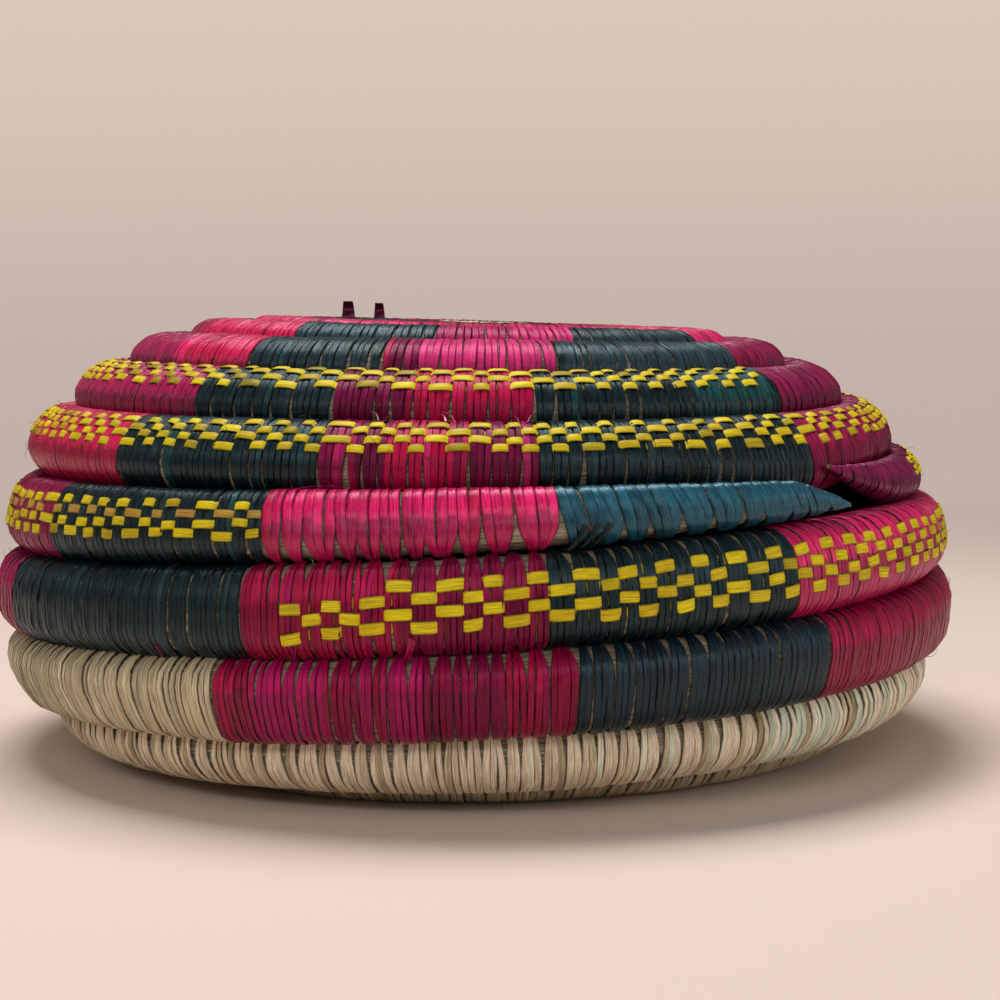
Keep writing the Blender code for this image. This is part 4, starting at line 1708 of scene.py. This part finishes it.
@dataclass
class Studio:
    """Floor and backdrop in one sweep, three soft lamps, a pale world and the camera.

    Far from the object the sweep glows to the camera with painted light of its own instead
    of the lamps' light, so that it looks as evenly lit as a paper backdrop. The painted glow
    comes in between two depths, and turns from the darker low colour to the lighter high
    one up to a height. The camera's angles are in radians, its lens in millimetres and its
    shift a share of the picture's width.
    """

    floor: Triple = (0.80, 0.67, 0.59)
    # Colours of the painted glow that the far sweep shows the camera in place of lit paper, darker low and
    # lighter high
    low_wall_glow: Triple = (0.535, 0.440, 0.390)
    high_wall_glow: Triple = (0.700, 0.570, 0.490)
    painted_glow_depths: tuple[float, float] = (0.15, 1.1)
    high_from: float = 0.75
    floor_size: float = 6.0
    floor_middle: Triple = (0.0, -1.2, -0.0004)
    bend_steps: int = 12
    bend_stride: float = 0.16
    wall_height: float = 2.4
    distance: float = 0.5945
    height: float = 0.1104
    pitch: float = 0.0685
    roll: float = -0.0121
    lens: float = 71.16
    sensor: float = 36.0
    shift: float = 0.027
    surround: float = 0.20
    surround_colour: Triple = (0.92, 0.87, 0.83)

    def build(self) -> None:
        """Make the whole studio."""
        self.sweep()
        self.world()
        for lamp in LAMPS:
            lamp.build()
        self.camera()

    def paper(self) -> bpy.types.Material:
        """Build the sweep's material: lit near the object, a painted glow far away that only the camera
        sees.

        Returns:
            The material.
        """
        material = bpy.data.materials.new("sweep")
        material.use_nodes = True
        build = NodeBuilder(material.node_tree)
        shader = material.node_tree.nodes["Principled BSDF"]
        build.fill(shader, Base_Color=self.floor, Roughness=0.9, Specular_IOR_Level=0.1)
        _, depth, up = build.parts(build.add("ShaderNodeTexCoord").outputs["Object"])
        # Painted light: the far sweep glows to the camera alone, instead of taking the lamps' light
        plain = build.add("ShaderNodeEmission")
        climb = build.step(up, (0.0, self.high_from))
        build.fill(plain, Color=build.mix(climb, self.low_wall_glow, self.high_wall_glow))
        seen = build.add("ShaderNodeLightPath").outputs["Is Camera Ray"]
        share = build.math("MULTIPLY", build.step(depth, self.painted_glow_depths), seen)
        blend = build.add("ShaderNodeMixShader")
        for source, socket in zip((share, shader.outputs[0], plain.outputs[0]), blend.inputs):
            build.set(socket, source)
        build.fill(material.node_tree.nodes["Material Output"], Surface=blend.outputs[0])
        return material

    def sweep(self) -> None:
        """Lay a floor that turns up into a backdrop behind the object."""
        deselect_all()
        bpy.ops.mesh.primitive_plane_add(size=self.floor_size, location=self.floor_middle)
        sweep = bpy.context.object
        sweep.name = "floor_sweep"
        bpy.ops.object.transform_apply(location=True)
        bpy.ops.object.mode_set(mode="EDIT")
        bpy.ops.mesh.select_all(action="DESELECT")
        bpy.ops.object.mode_set(mode="OBJECT")
        for edge in sweep.data.edges:
            nearest = min(sweep.data.vertices[index].co.y for index in edge.vertices)
            edge.select = nearest > self.floor_middle[1]
        bpy.ops.object.mode_set(mode="EDIT")
        bpy.ops.mesh.select_mode(type="EDGE")
        for step in range(self.bend_steps):
            turned = QUARTER_TURN * (step + 0.5) / self.bend_steps
            move = (0.0, self.bend_stride * math.cos(turned), self.bend_stride * math.sin(turned))
            bpy.ops.mesh.extrude_region_move(TRANSFORM_OT_translate={"value": move})
        bpy.ops.mesh.extrude_region_move(TRANSFORM_OT_translate={"value": (0.0, 0.0, self.wall_height)})
        bpy.ops.object.mode_set(mode="OBJECT")
        bpy.ops.object.shade_smooth()
        sweep.data.materials.append(self.paper())

    def world(self) -> None:
        """Set an even pale surround."""
        world = bpy.data.worlds.new("studio")
        world.use_nodes = True
        build = NodeBuilder(world.node_tree)
        build.fill(world.node_tree.nodes["Background"], Color=self.surround_colour, Strength=self.surround)
        bpy.context.scene.world = world

    def camera(self) -> None:
        """Set the photograph's view, level with the lid and slightly rolled."""
        view = bpy.data.cameras.new("camera")
        view.lens, view.sensor_width, view.sensor_fit = self.lens, self.sensor, "HORIZONTAL"
        view.shift_x = self.shift
        view.clip_start = 0.01
        thing = bpy.data.objects.new("camera", view)
        bpy.context.scene.collection.objects.link(thing)
        upright = Euler((QUARTER_TURN - self.pitch, 0.0, 0.0)).to_matrix().to_4x4()
        rolled = Matrix.Rotation(self.roll, 4, "Z")
        thing.matrix_world = Matrix.Translation((0.0, -self.distance, self.height)) @ upright @ rolled
        bpy.context.scene.camera = thing
        bpy.context.scene.view_settings.view_transform = "Standard"


BASKET_WEFT = Weft(ends=(1.180, 0.185), faded=(2, 0.36, 0.18), lead=(0, 0, 0, 5), droop=0.0018,
                   width=0.0026, pitch=0.0029, dirty=0.03)
LID_WEFT = Weft(ends=(2.000, 0.070), width=0.0021, pitch=0.0023, shift=-0.0014, bulge=0.00045,
                dirty=0.18)


def main() -> None:
    """Build the strips, the weave, the studio and the camera."""
    logging.basicConfig(level=logging.INFO, format="%(message)s")
    # The second group paints shade at the strip edges and a highlight on the coils' shoulders
    fibres, painted_light = fibre_group(), painted_light_group()
    finishes = {finish.slot: finish.material(fibres, painted_light) for finish in FINISHES}
    shapes = (StripShape(outer_cuts=12, inner_cuts=3), StripShape())
    basket = Half("basket", BASKET_COIL, runs_of_basket(), BASKET_WEFT, shapes, finishes)
    lid = Half("lid", LID_COIL, runs_of_lid(), LID_WEFT, shapes, finishes)
    for half in (basket, lid):
        half.build()
    random = np.random.default_rng(SEED)
    draw_wisps(basket, basket_wisps() + BASKET_HAIRS.scatter(random))
    draw_wisps(lid, lid_wisps() + LID_HAIRS.scatter(random))
    StripEnds().build(finishes[Dye.PLUM])
    Studio().build()


if __name__ == "__main__":
    main()
